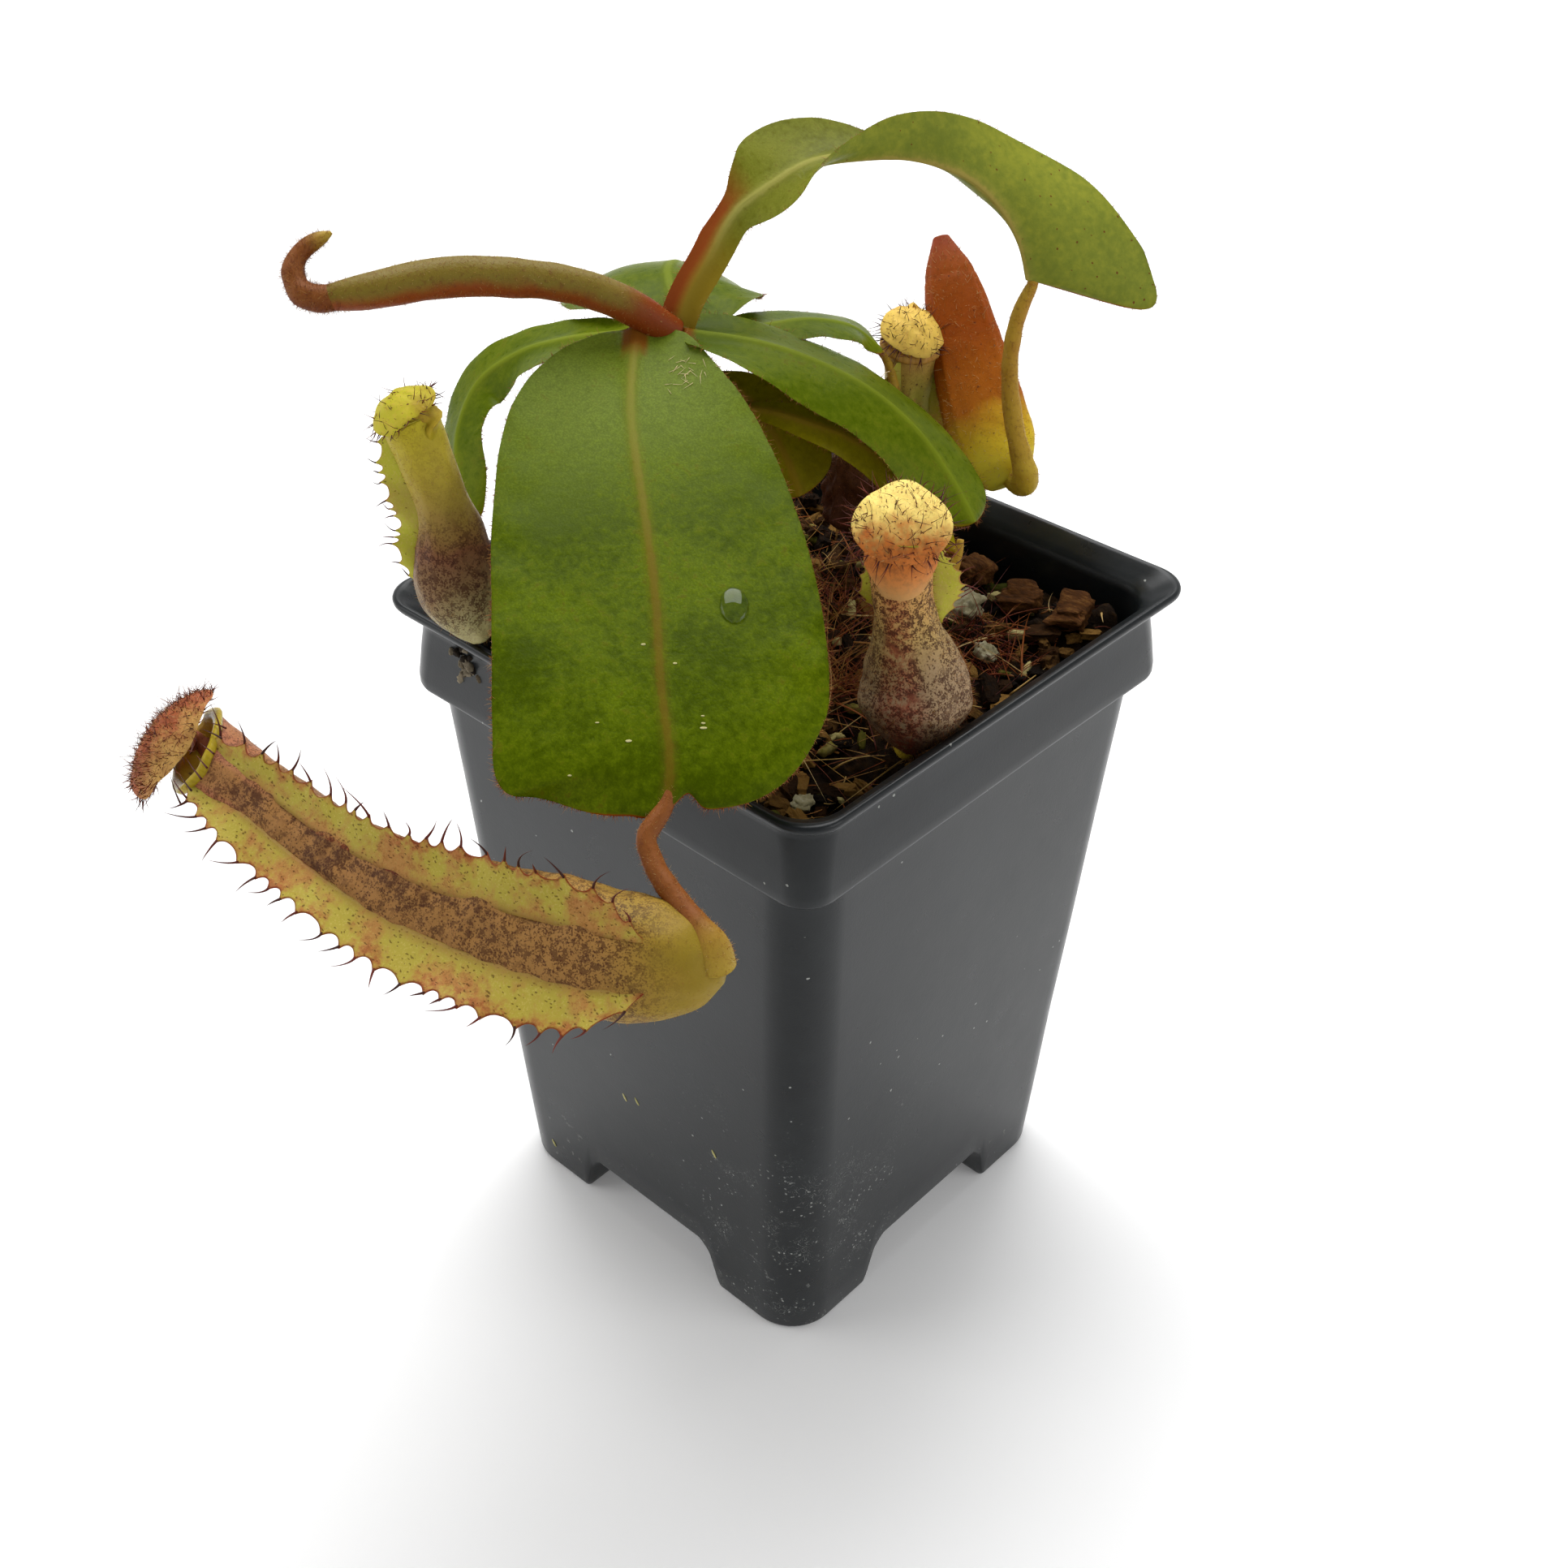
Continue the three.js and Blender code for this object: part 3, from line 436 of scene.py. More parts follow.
class Num:
    """A number that changes over a surface. Arithmetic on it adds Math nodes to its shader."""

    def __init__(self, shader: "Shader", socket: Socket) -> None:
        """Wraps a socket.

        Args:
            shader: The shader that the socket belongs to.
            socket: The socket that gives the number.
        """
        self.shader = shader
        self.socket = socket

    def _math(self, operation: str, *terms: "Num | float") -> "Num":
        """Adds one Math node on the given terms and wraps its result."""
        node = self.shader.node("ShaderNodeMath", {"operation": operation}, dict(enumerate(terms)))
        return Num(self.shader, node.outputs[0])

    def __add__(self, other: "Num | float") -> "Num":
        """Sum."""
        return self._math("ADD", self, other)

    def __sub__(self, other: "Num | float") -> "Num":
        """Difference."""
        return self._math("SUBTRACT", self, other)

    def __rsub__(self, other: float) -> "Num":
        """Difference with the number on the right."""
        return self._math("SUBTRACT", other, self)

    def __mul__(self, other: "Num | float") -> "Num":
        """Product."""
        return self._math("MULTIPLY", self, other)

    __radd__ = __add__
    __rmul__ = __mul__

    def size(self) -> "Num":
        """The number without its sign."""
        return self._math("ABSOLUTE", self)

    def highest(self, other: "Num | float") -> "Num":
        """The higher of two numbers."""
        return self._math("MAXIMUM", self, other)

    def step(self, low: float, high: float) -> "Num":
        """Smooth step: 0 at low, 1 at high, which may be below low, and level beyond.

        Args:
            low: Where it is 0.
            high: Where it is 1.

        Returns:
            The step.
        """
        settings = {"interpolation_type": "SMOOTHSTEP"}
        node = self.shader.node("ShaderNodeMapRange", settings, {0: self, 1: low, 2: high, 3: 0.0, 4: 1.0})
        return Num(self.shader, node.outputs[0])


class Shader:
    """Builds one material out of nodes."""

    def __init__(self, name: str) -> None:
        """Starts a material of the given name that holds only its output and its main shader."""
        self.material = bpy.data.materials.new(name)
        self.material.use_nodes = True
        self.tree = self.material.node_tree
        self.surface = self.tree.nodes["Principled BSDF"]
        self.here = self.node("ShaderNodeTexCoord").outputs["Object"]

    def node(self, kind: str, settings: dict | None = None, sockets: dict | None = None) -> bpy.types.Node:
        """Adds a node.

        Args:
            kind: The node's type.
            settings: Its settings, set before its sockets; "stops" fills a colour ramp.
            sockets: Values, colours, links or wrapped numbers for its inputs, by name or number.

        Returns:
            The node.
        """
        node = self.tree.nodes.new(kind)
        for key, value in (settings or {}).items():
            if key == "stops":
                ramp = node.color_ramp
                for k, (place, colour) in enumerate(value):
                    stop = ramp.elements[k] if k < 2 else ramp.elements.new(place)
                    stop.position = place
                    stop.color = (*colour, 1.0)
            else:
                setattr(node, key, value)
        for key, value in (sockets or {}).items():
            self.feed(node.inputs[key], value)
        return node

    def feed(self, socket: Socket, value: object) -> None:
        """Links a socket or a wrapped number to an input, or sets the input's own value.

        Args:
            socket: The input.
            value: What it gets.
        """
        value = value.socket if isinstance(value, Num) else value
        if isinstance(value, Socket):
            self.tree.links.new(value, socket)
        else:
            socket.default_value = (*value, 1.0) if socket.type == "RGBA" else value

    def mark(self, name: str) -> Num:
        """Reads a named value that the mesh carries."""
        return Num(self, self.node("ShaderNodeAttribute", {"attribute_name": name}).outputs["Fac"])

    def spot(self, stretch: Colour) -> Socket:
        """Object coordinates, stretched along the axes."""
        if stretch == EVEN:
            return self.here
        return self.node("ShaderNodeMapping", {}, {"Vector": self.here, "Scale": stretch}).outputs[0]

    def noise(self, grain: float, detail: float = 3.0, rough: float = 0.5, stretch: Colour = EVEN,
              swirl: float = 0.0) -> Num:
        """Cloudy noise.

        Args:
            grain: Size of its features, in millimetres.
            detail: How many finer layers it has.
            rough: How strong they are.
            stretch: Scale of the coordinates along the axes.
            swirl: How much it is bent by itself.

        Returns:
            The noise, about 0.5 in the middle.
        """
        node = self.node("ShaderNodeTexNoise", {}, {
            "Vector": self.spot(stretch), "Scale": 1 / (grain * MM), "Detail": detail, "Roughness": rough,
            "Distortion": swirl})
        return Num(self, node.outputs[0])

    def flecks(self, grain: float, size: float, share: float, stretch: Colour = EVEN) -> Num:
        """Small separate spots, one in some of the cells of a random pattern.

        Args:
            grain: Distance between cells, in millimetres.
            size: Size of a spot, as a share of its cell.
            share: Share of the cells that have a spot.
            stretch: Scale of the coordinates along the axes.

        Returns:
            1 on the spots and 0 between them.
        """
        wander = self.node("ShaderNodeTexNoise", {}, {"Vector": self.here, "Scale": 900.0})
        swirled = self.node("ShaderNodeMix", {"data_type": "VECTOR"}, {
            "Factor": 0.0008, 4: self.spot(stretch), 5: wander.outputs[1]})
        sockets = {"Vector": swirled.outputs[1], "Scale": 1 / (grain * MM)}
        node = self.node("ShaderNodeTexVoronoi", {}, sockets)
        chosen = self.node("ShaderNodeSeparateColor", {}, {0: node.outputs["Color"]}).outputs[0]
        return (Num(self, node.outputs["Distance"]).step(size, size * 0.55)
                * Num(self, chosen).step(share + 0.02, share - 0.02))

    def mix(self, factor: Num | float, first: object, second: object) -> Socket:
        """Blends two colours: the first where the factor is 0, the second where it is 1."""
        node = self.node("ShaderNodeMix", {"data_type": "RGBA"}, {0: factor, 6: first, 7: second})
        return node.outputs[2]

    def ramp(self, number: Num, stops: Sequence[tuple[float, Colour]]) -> Socket:
        """Turns a number into a colour by named stops."""
        return self.node("ShaderNodeValToRGB", {"stops": stops}, {0: number}).outputs[0]

    def bump(self, height: Num, depth: float) -> Socket:
        """Raises the surface by a height, depth millimetres at most."""
        sockets = {"Height": height, "Distance": depth * MM, "Strength": 1.0}
        return self.node("ShaderNodeBump", {}, sockets).outputs[0]

    def finish(self, **inputs: object) -> Material:
        """Sets the main shader's inputs, with _ for the space in a name, and gives the material.

        Args:
            inputs: Values, colours, links or wrapped numbers, such as Base_Color or Roughness.

        Returns:
            The material.
        """
        for key, value in inputs.items():
            self.feed(self.surface.inputs[key.replace("_", " ")], value)
        return self.material


# ------------------------------------------------------------------ finishes
@dataclass(frozen=True)
class LeafFinish:
    """Waxy leaf: mottled upper side, paler underside, coloured midrib and a thin reddish margin; a painted
    sheen may lighten the upper side near the base.
    """

    name: str
    deep: Colour = seen(68, 84, 0)
    light: Colour = seen(104, 122, 8)
    under: Colour = seen(134, 142, 62)
    margin: Colour = seen(134, 56, 12)
    rib: Colour = seen(128, 122, 46)
    rib_end: Colour = seen(106, 84, 18)
    rib_under: Colour = seen(170, 128, 66)
    blush: Colour = seen(122, 66, 18)
    blush_to: float = 0.04
    blush_wide: float = 3.0
    flank: float = 0.0
    # colour of the painted sheen, a pale grey-green laid on the upper side near the base
    pale: Colour = seen(124, 142, 48)
    painted_sheen_share: float = 0.0
    gloss: float = 0.3
    felt: float = 0.6

    def make(self) -> Material:
        """Builds the material; it reads rib, edge, along, across, run and top from the leaf's skin."""
        s = Shader(self.name)
        rib, edge, along, top = s.mark("rib"), s.mark("edge"), s.mark("along"), s.mark("top")
        cloud, mottle, grain = s.noise(13, 3), s.noise(1.3, 4, 0.62), s.noise(0.3, 3, 0.6)
        veins = s.node("ShaderNodeCombineXYZ", {}, {0: s.mark("across") * 0.16, 1: s.mark("run") * 0.9})
        sockets = {"Vector": veins.outputs[0], "Scale": 0.9, "Detail": 4.0}
        streak = Num(s, s.node("ShaderNodeTexNoise", {}, sockets).outputs[0])
        tone = cloud * 0.75 + mottle * 0.75 + streak * 0.1 - 0.3
        upper = s.mix(tone.step(0.3, 0.72), self.deep, self.light)
        # painted sheen: the upper side turns pale near the leaf's base
        if self.painted_sheen_share:
            near = (along + (mottle - 0.5) * 0.2 + (cloud - 0.5) * 0.2).step(0.5, 0.2)
            upper = s.mix(near * (0.5 + mottle) * self.painted_sheen_share, upper, self.pale)
        upper = s.mix(grain.step(0.42, 0.66) * self.felt, self.dim(s, upper), upper)
        upper = s.mix(mottle.step(0.55, 0.68) * cloud.step(0.42, 0.6) * 0.4, upper, seen(84, 66, 14))
        lower = s.mix((cloud * 0.5 + mottle * 0.6).step(0.35, 0.75), self.under, seen(112, 122, 44))
        lower = s.mix(s.flecks(0.9, 0.24, 0.14), lower, seen(104, 66, 32))
        colour = s.mix(top, lower, upper)
        wander = rib + (mottle - 0.5) * 0.9 + (grain - 0.5) * 0.4
        rib_top = s.mix((along + (cloud - 0.5) * 0.3).step(0.15, 0.75), self.rib, self.rib_end)
        rib_tone = s.mix(top, self.rib_under, rib_top)
        colour = s.mix(wander.step(1.7, 0.6) * 0.18, colour, rib_tone)
        colour = s.mix(wander.step(0.85, 0.25) * (0.4 + cloud * 0.5), colour, rib_tone)
        rim = edge + (mottle - 0.5) * 0.5
        colour = s.mix(rim.step(1.4, 0.3) * 0.35, colour, seen(132, 112, 12))
        colour = s.mix(rim.step(0.75, 0.4) * 0.9, colour, self.margin)
        base = (along + (mottle - 0.5) * 0.03).step(self.blush_to, self.blush_to * 0.4)
        colour = s.mix(base * rib.step(self.blush_wide, self.blush_wide * 0.6) * 0.9, colour, self.blush)
        if self.flank:
            side = (s.mark("across") + (cloud - 0.5) * 1.5).step(0.2, -1.8)
            colour = s.mix(side * along.step(self.flank, self.flank * 0.75) * 0.85, colour, seen(142, 58, 28))
        relief = s.bump(streak * 0.25 + mottle * 0.6 + grain * 0.25, 0.12)
        rough = self.gloss + (mottle - 0.5) * 0.2 + (1 - top) * 0.14 + wander.step(1.4, 0.8) * 0.15
        return s.finish(Base_Color=colour, Roughness=rough, Normal=relief, Specular_IOR_Level=0.035)

    def dim(self, s: Shader, colour: Socket) -> Socket:
        """A darker copy of a colour, for the pores between the down."""
        return s.mix(0.42, colour, tuple(c * 0.35 for c in self.deep))


@dataclass(frozen=True)
class CupFinish:
    """Pitcher wall: a colour that changes from foot to mouth, a speckled front band and dark speckles."""

    name: str
    stops: tuple[tuple[float, Colour], ...]
    speck: Colour = seen(66, 34, 20)
    share: float = 0.5
    grain: float = 0.5
    mottled: float = 0.5
    band: Colour = seen(120, 80, 50)
    band_half: float = 0.0
    stripe: Colour = seen(150, 66, 60)
    stripe_half: float = 0.0
    inside: Colour = seen(170, 140, 50)
    lip: Colour = seen(160, 140, 44)
    lip_rib: Colour = seen(112, 72, 22)
    clear_from: float = 1.0

    def make(self) -> Material:
        """Builds the material; it reads along, front (0 to 1, front to back) and inside."""
        s = Shader(self.name)
        along, front, inside = s.mark("along"), s.mark("front"), s.mark("inside")
        cloud, mottle, grain = s.noise(5, 3), s.noise(1.0, 4, 0.62), s.noise(0.26, 2)
        colour = s.ramp(along + (cloud - 0.5) * 0.2, self.stops)
        if self.stripe_half:
            back = (front + (cloud - 0.5) * 0.1).step(1 - self.stripe_half, 1 - self.stripe_half * 0.35)
            colour = s.mix(back * mottle.step(0.3, 0.62) * 0.75, colour, self.stripe)
        if self.band_half:
            wide = self.band_half * (1.45 - along * 0.75)
            reach = ((front + (cloud - 0.5) * 0.06 + (mottle - 0.5) * 0.05) - wide).step(0.016, -0.04)
            fade = reach * along.step(0.06, 0.2)
            middle = (cloud * 0.6 + mottle * 0.4).step(0.46, 0.6) * along.step(0.25, 0.5)
            colour = s.mix(fade * 0.8, colour, s.mix(middle * 0.8, self.band, seen(84, 54, 30)))
            line = (fade * (1 - fade)).step(0.06, 0.2) * along.step(0.9, 0.6) * along.step(0.2, 0.32)
            colour = s.mix(line * mottle.step(0.4, 0.6) * 0.7, colour, seen(140, 48, 22))
        clear = (along + (cloud - 0.5) * 0.3).step(self.clear_from - 0.1, self.clear_from + 0.1)
        shown = (1 - inside) * along.step(0.02, 0.16) * (1 - clear * 0.8)
        cells = (mottle * 0.55 + grain * 0.45).step(0.475, 0.54) * cloud.step(0.26, 0.5)
        colour = s.mix(cells * shown * self.mottled, colour, self.speck)
        specks = s.flecks(self.grain, 0.4, self.share)
        rare = s.flecks(self.grain * 2.6, 0.2, self.share * 0.5)
        colour = s.mix(specks.highest(rare) * shown * 0.75, colour, self.speck)
        within = s.mix(s.flecks(1.6, 0.34, 0.3) * 0.7, self.inside, seen(92, 52, 18))
        colour = s.mix(inside, colour, within)
        lip = s.mark("lip")
        rim = s.mix(s.mark("rib").step(0.6, 0.95) * 0.3, self.lip, self.lip_rib)
        colour = s.mix(lip, colour, rim)
        relief = s.bump((grain * 0.5 + mottle * 0.7) * (1 - lip), 0.1)
        rough = 0.48 + (mottle - 0.5) * 0.2 - lip * 0.2
        return s.finish(Base_Color=colour, Roughness=rough, Normal=relief, Specular_IOR_Level=0.12,
                        Subsurface_Weight=0.06, Subsurface_Radius=(1.0, 0.5, 0.2), Subsurface_Scale=0.001)


@dataclass(frozen=True)
class WingFinish:
    """Wing of a pitcher: thin yellow-green tissue with short dark dashes and reddish edges."""

    name: str
    body: Colour = seen(170, 156, 62)
    warm: Colour = seen(172, 124, 66)
    edge: Colour = seen(112, 36, 18)
    dash: Colour = seen(72, 40, 14)
    share: float = 0.75
    grain: float = 0.46
    mottled: float = 0.5
    stretch: Colour = (0.5, 1.0, 1.0)

    def make(self) -> Material:
        """Builds the material; it reads out (0 at the root, 1 at the margin) and along."""
        s = Shader(self.name)
        out, along = s.mark("out"), s.mark("along")
        cloud, mottle, grain = s.noise(5, 3), s.noise(1.1, 4, 0.62), s.noise(0.3, 2)
        colour = s.mix((cloud * 0.7 + mottle * 0.3).step(0.42, 0.62), self.body, self.warm)
        colour = s.mix(grain.step(0.5, 0.7) * 0.35, colour, seen(206, 184, 104))
        rosy = (out + (cloud - 0.5) * 0.9).step(0.62, 1.05) * mottle.step(0.4, 0.6)
        colour = s.mix(rosy * self.mottled, colour, seen(160, 76, 48))
        cells = (mottle * 0.5 + grain * 0.5).step(0.51, 0.58) * cloud.step(0.36, 0.6)
        colour = s.mix(cells * self.mottled, colour, seen(124, 74, 30))
        dashes = s.flecks(self.grain, 0.32, self.share, self.stretch)
        colour = s.mix(dashes * 0.7, colour, self.dash)
        rim = (out + (mottle - 0.5) * 0.06).step(0.93, 1.0)
        colour = s.mix(rim * 0.85, colour, self.edge)
        root = (out + (mottle - 0.5) * 0.3 + (cloud - 0.5) * 0.3).step(0.3, -0.05)
        colour = s.mix(root * self.mottled * 1.4, colour, seen(136, 94, 48))
        colour = s.mix(along.step(0.02, 0.0) * 0.9, colour, self.edge)
        return s.finish(Base_Color=colour, Roughness=0.46 + (mottle - 0.5) * 0.2,
                        Normal=s.bump(mottle, 0.09), Specular_IOR_Level=0.12, Subsurface_Weight=0.1,
                        Subsurface_Radius=(1.0, 0.6, 0.2), Subsurface_Scale=0.001)


@dataclass(frozen=True)
class LidFinish:
    """Lid of a pitcher: pale tissue with red blotches towards its neck."""

    name: str
    body: Colour = seen(238, 204, 108)
    blotch: Colour = seen(176, 88, 34)
    fleck: Colour = seen(96, 40, 26)
    foot: Colour = seen(196, 150, 92)
    spread: float = 0.45
    share: float = 0.25

    def make(self) -> Material:
        """Builds the material; it reads neck, from 0 at the neck to 1 at the far end, and negative on the
        strip that carries the lid."""
        s = Shader(self.name)
        neck = s.mark("neck")
        cloud, mottle = s.noise(2.6, 3), s.noise(0.9, 4, 0.65)
        colour = s.mix(mottle.step(0.4, 0.7) * 0.35, self.body, seen(214, 168, 84))
        red = (neck + (cloud - 0.5) * 0.7 + (mottle - 0.5) * 0.4).step(self.spread + 0.2, self.spread - 0.25)
        colour = s.mix(red * 0.92, colour, s.mix(mottle.step(0.4, 0.65) * 0.5, self.blotch, self.fleck))
        colour = s.mix(neck.step(0.02, -0.3), colour, self.foot)
        colour = s.mix(s.flecks(0.6, 0.3, self.share) * 0.8, colour, self.fleck)
        return s.finish(Base_Color=colour, Roughness=0.55, Normal=s.bump(mottle, 0.14),
                        Specular_IOR_Level=0.12, Subsurface_Weight=0.12,
                        Subsurface_Radius=(1.0, 0.6, 0.25), Subsurface_Scale=0.001)


@dataclass(frozen=True)
class StalkFinish:
    """Downy stalk, speckled, for tendrils, stem and the rolled leaf: one colour on faces that point up and
    another on faces that point down; on tendrils and stem the lower one is a darker copy, painted shade, and
    on the rolled leaf it is also its own red.
    """

    name: str
    # colours for faces that point up and down; on tendrils and stem the lower one is painted shade
    above: Colour
    below: Colour
    base: Colour
    base_to: float = 0.0
    tip: Colour = seen(168, 152, 36)
    tip_from: float = 1.0
    speck: Colour = seen(92, 44, 20)
    rough: float = 0.52

    def make(self) -> Material:
        """Builds the material; it reads upward (1 on top, 0 below) and along."""
        s = Shader(self.name)
        upward, along = s.mark("upward"), s.mark("along")
        cloud, mottle, grain = s.noise(4, 3), s.noise(0.7, 3, 0.6), s.noise(0.2, 2)
        # painted shade on faces that point down; on the rolled leaf the lower colour is also its own red
        colour = s.mix((upward + (cloud - 0.5) * 0.5).step(0.3, 0.7), self.below, self.above)
        colour = s.mix(mottle.step(0.5, 0.75) * 0.5, colour, self.speck)
        if self.base_to:
            colour = s.mix((along + (cloud - 0.5) * 0.1).step(self.base_to, self.base_to * 0.4), colour,
                           self.base)
        if self.tip_from < 1:
            colour = s.mix(along.step(self.tip_from, 0.99) * 0.85, colour, self.tip)
        return s.finish(Base_Color=colour, Roughness=self.rough + (mottle - 0.5) * 0.16,
                        Normal=s.bump(mottle * 0.7 + grain * 0.4, 0.12), Specular_IOR_Level=0.14)


@dataclass(frozen=True)
class HairFinish:
    """Hairs and bristles, coloured by the tone each one carries, from dark through red-brown to pale."""

    name: str = "bristle_and_down"

    def make(self) -> Material:
        """Builds the material."""
        s = Shader(self.name)
        stops = ((0.0, seen(46, 20, 14)), (0.35, seen(98, 34, 22)), (0.6, seen(150, 84, 36)),
                 (0.8, seen(186, 148, 78)), (1.0, seen(226, 206, 160)))
        colour = s.ramp(s.mark("tone") + s.mark("along") * 0.06, stops)
        return s.finish(Base_Color=colour, Roughness=0.45, Specular_IOR_Level=0.2)


@dataclass(frozen=True)
class PlasticFinish:
    """Charcoal moulded plastic, half gloss, with dust, fine scratches and dried splashes near the foot."""

    name: str = "charcoal_plastic"
    body: Colour = seen(20, 23, 25)
    worn: Colour = seen(34, 38, 40)
    dust: Colour = seen(186, 188, 182)

    def make(self) -> Material:
        """Builds the material; it reads height in millimetres and corner, 1 at the front edge."""
        s = Shader(self.name)
        height, corner = s.mark("height"), s.mark("corner")
        cloud, film, grain = s.noise(24, 4), s.noise(7, 4, 0.65), s.noise(0.35, 2)
        colour = s.mix((cloud * 0.6 + film * 0.5).step(0.4, 0.75) * 0.5, self.body, self.worn)
        low = height.step(62, 18) * corner.step(0.1, 0.9)
        patch = low * s.noise(11, 2).step(0.44, 0.6)
        specks = s.flecks(0.9, 0.26, 0.34) * patch
        rare = s.flecks(3.2, 0.085, 0.35)
        hair = s.noise(3.4, 2, swirl=3.5)
        line = (hair - 0.5).size().step(0.012, 0.003) * patch * film.step(0.45, 0.6)
        dust = specks.highest(line * 0.8).highest(rare * 0.8)
        colour = s.mix(dust * 0.75, colour, self.dust)
        colour = s.mix(s.noise(2.2, 5, 0.7).step(0.63, 0.72) * height.step(30, 6) * 0.3, colour, self.dust)
        relief = s.bump(grain * 0.3 + film * 0.7, 0.035)
        rough = 0.3 + (film - 0.5) * 0.16 + dust * 0.3
        return s.finish(Base_Color=colour, Roughness=rough, Normal=relief, Specular_IOR_Level=0.27)


@dataclass(frozen=True)
class EarthFinish:
    """Rough crumbly matter: bark, coir, moss or stone, in three tones."""

    name: str
    dark: Colour
    middle: Colour
    pale: Colour
    grain: float = 1.4
    depth: float = 0.4
    rough: float = 0.85
    stretch: Colour = EVEN
    by_tone: bool = False

    def make(self) -> Material:
        """Builds the material; where it is told to, each bit's own tone picks its colour."""
        s = Shader(self.name)
        coarse = s.noise(self.grain * 3, 4, 0.6, self.stretch)
        fine = s.noise(self.grain, 5, 0.7, self.stretch)
        tone = coarse * 0.6 + fine * 0.6 - 0.1
        if self.by_tone:
            tone = s.mark("tone") * 0.75 + fine * 0.4 - 0.08
        colour = s.ramp(tone, ((0.25, self.dark), (0.5, self.middle), (0.8, self.pale)))
        return s.finish(Base_Color=colour, Roughness=self.rough + (fine - 0.5) * 0.2,
                        Normal=s.bump(fine, self.depth), Specular_IOR_Level=0.1)


def floor_finish() -> Material:
    """Plain pale floor, which glows a little near the pot and more towards the horizon."""
    s = Shader("pale_floor")
    shade = s.noise(120, 2)
    away = Num(s, s.node("ShaderNodeVectorMath", {"operation": "LENGTH"}, {0: s.here}).outputs["Value"])
    glow = s.mix(away.step(0.5, 2.2), (0.1, 0.1, 0.1), (0.62, 0.62, 0.62))
    return s.finish(Base_Color=s.mix(shade, (0.93, 0.93, 0.93), (0.95, 0.95, 0.95)), Roughness=0.8,
                    Specular_IOR_Level=0.1, Emission_Color=glow, Emission_Strength=1.0)


def drop_finish() -> Material:
    """Clear water."""
    s = Shader("clear_water")
    return s.finish(Base_Color=(0.95, 1.0, 0.93), Roughness=0.02, Transmission_Weight=1.0, IOR=1.33)


# ------------------------------------------------------------------ the pot
def lattice(count: int) -> tuple[Array, Array]:
    """Numbers a square grid of points row by row.

    Args:
        count: Points along each side.

    Returns:
        The quads between the points, which face down, and the numbers of the border, once round.
    """
    ids = np.arange(count * count).reshape(count, count)
    quads = np.stack([ids[:-1, :-1], ids[:-1, 1:], ids[1:, 1:], ids[1:, :-1]], -1).reshape(-1, 4)
    return quads, np.concatenate([ids[:-1, 0], ids[-1, :-1], ids[:0:-1, -1], ids[0, :0:-1]])


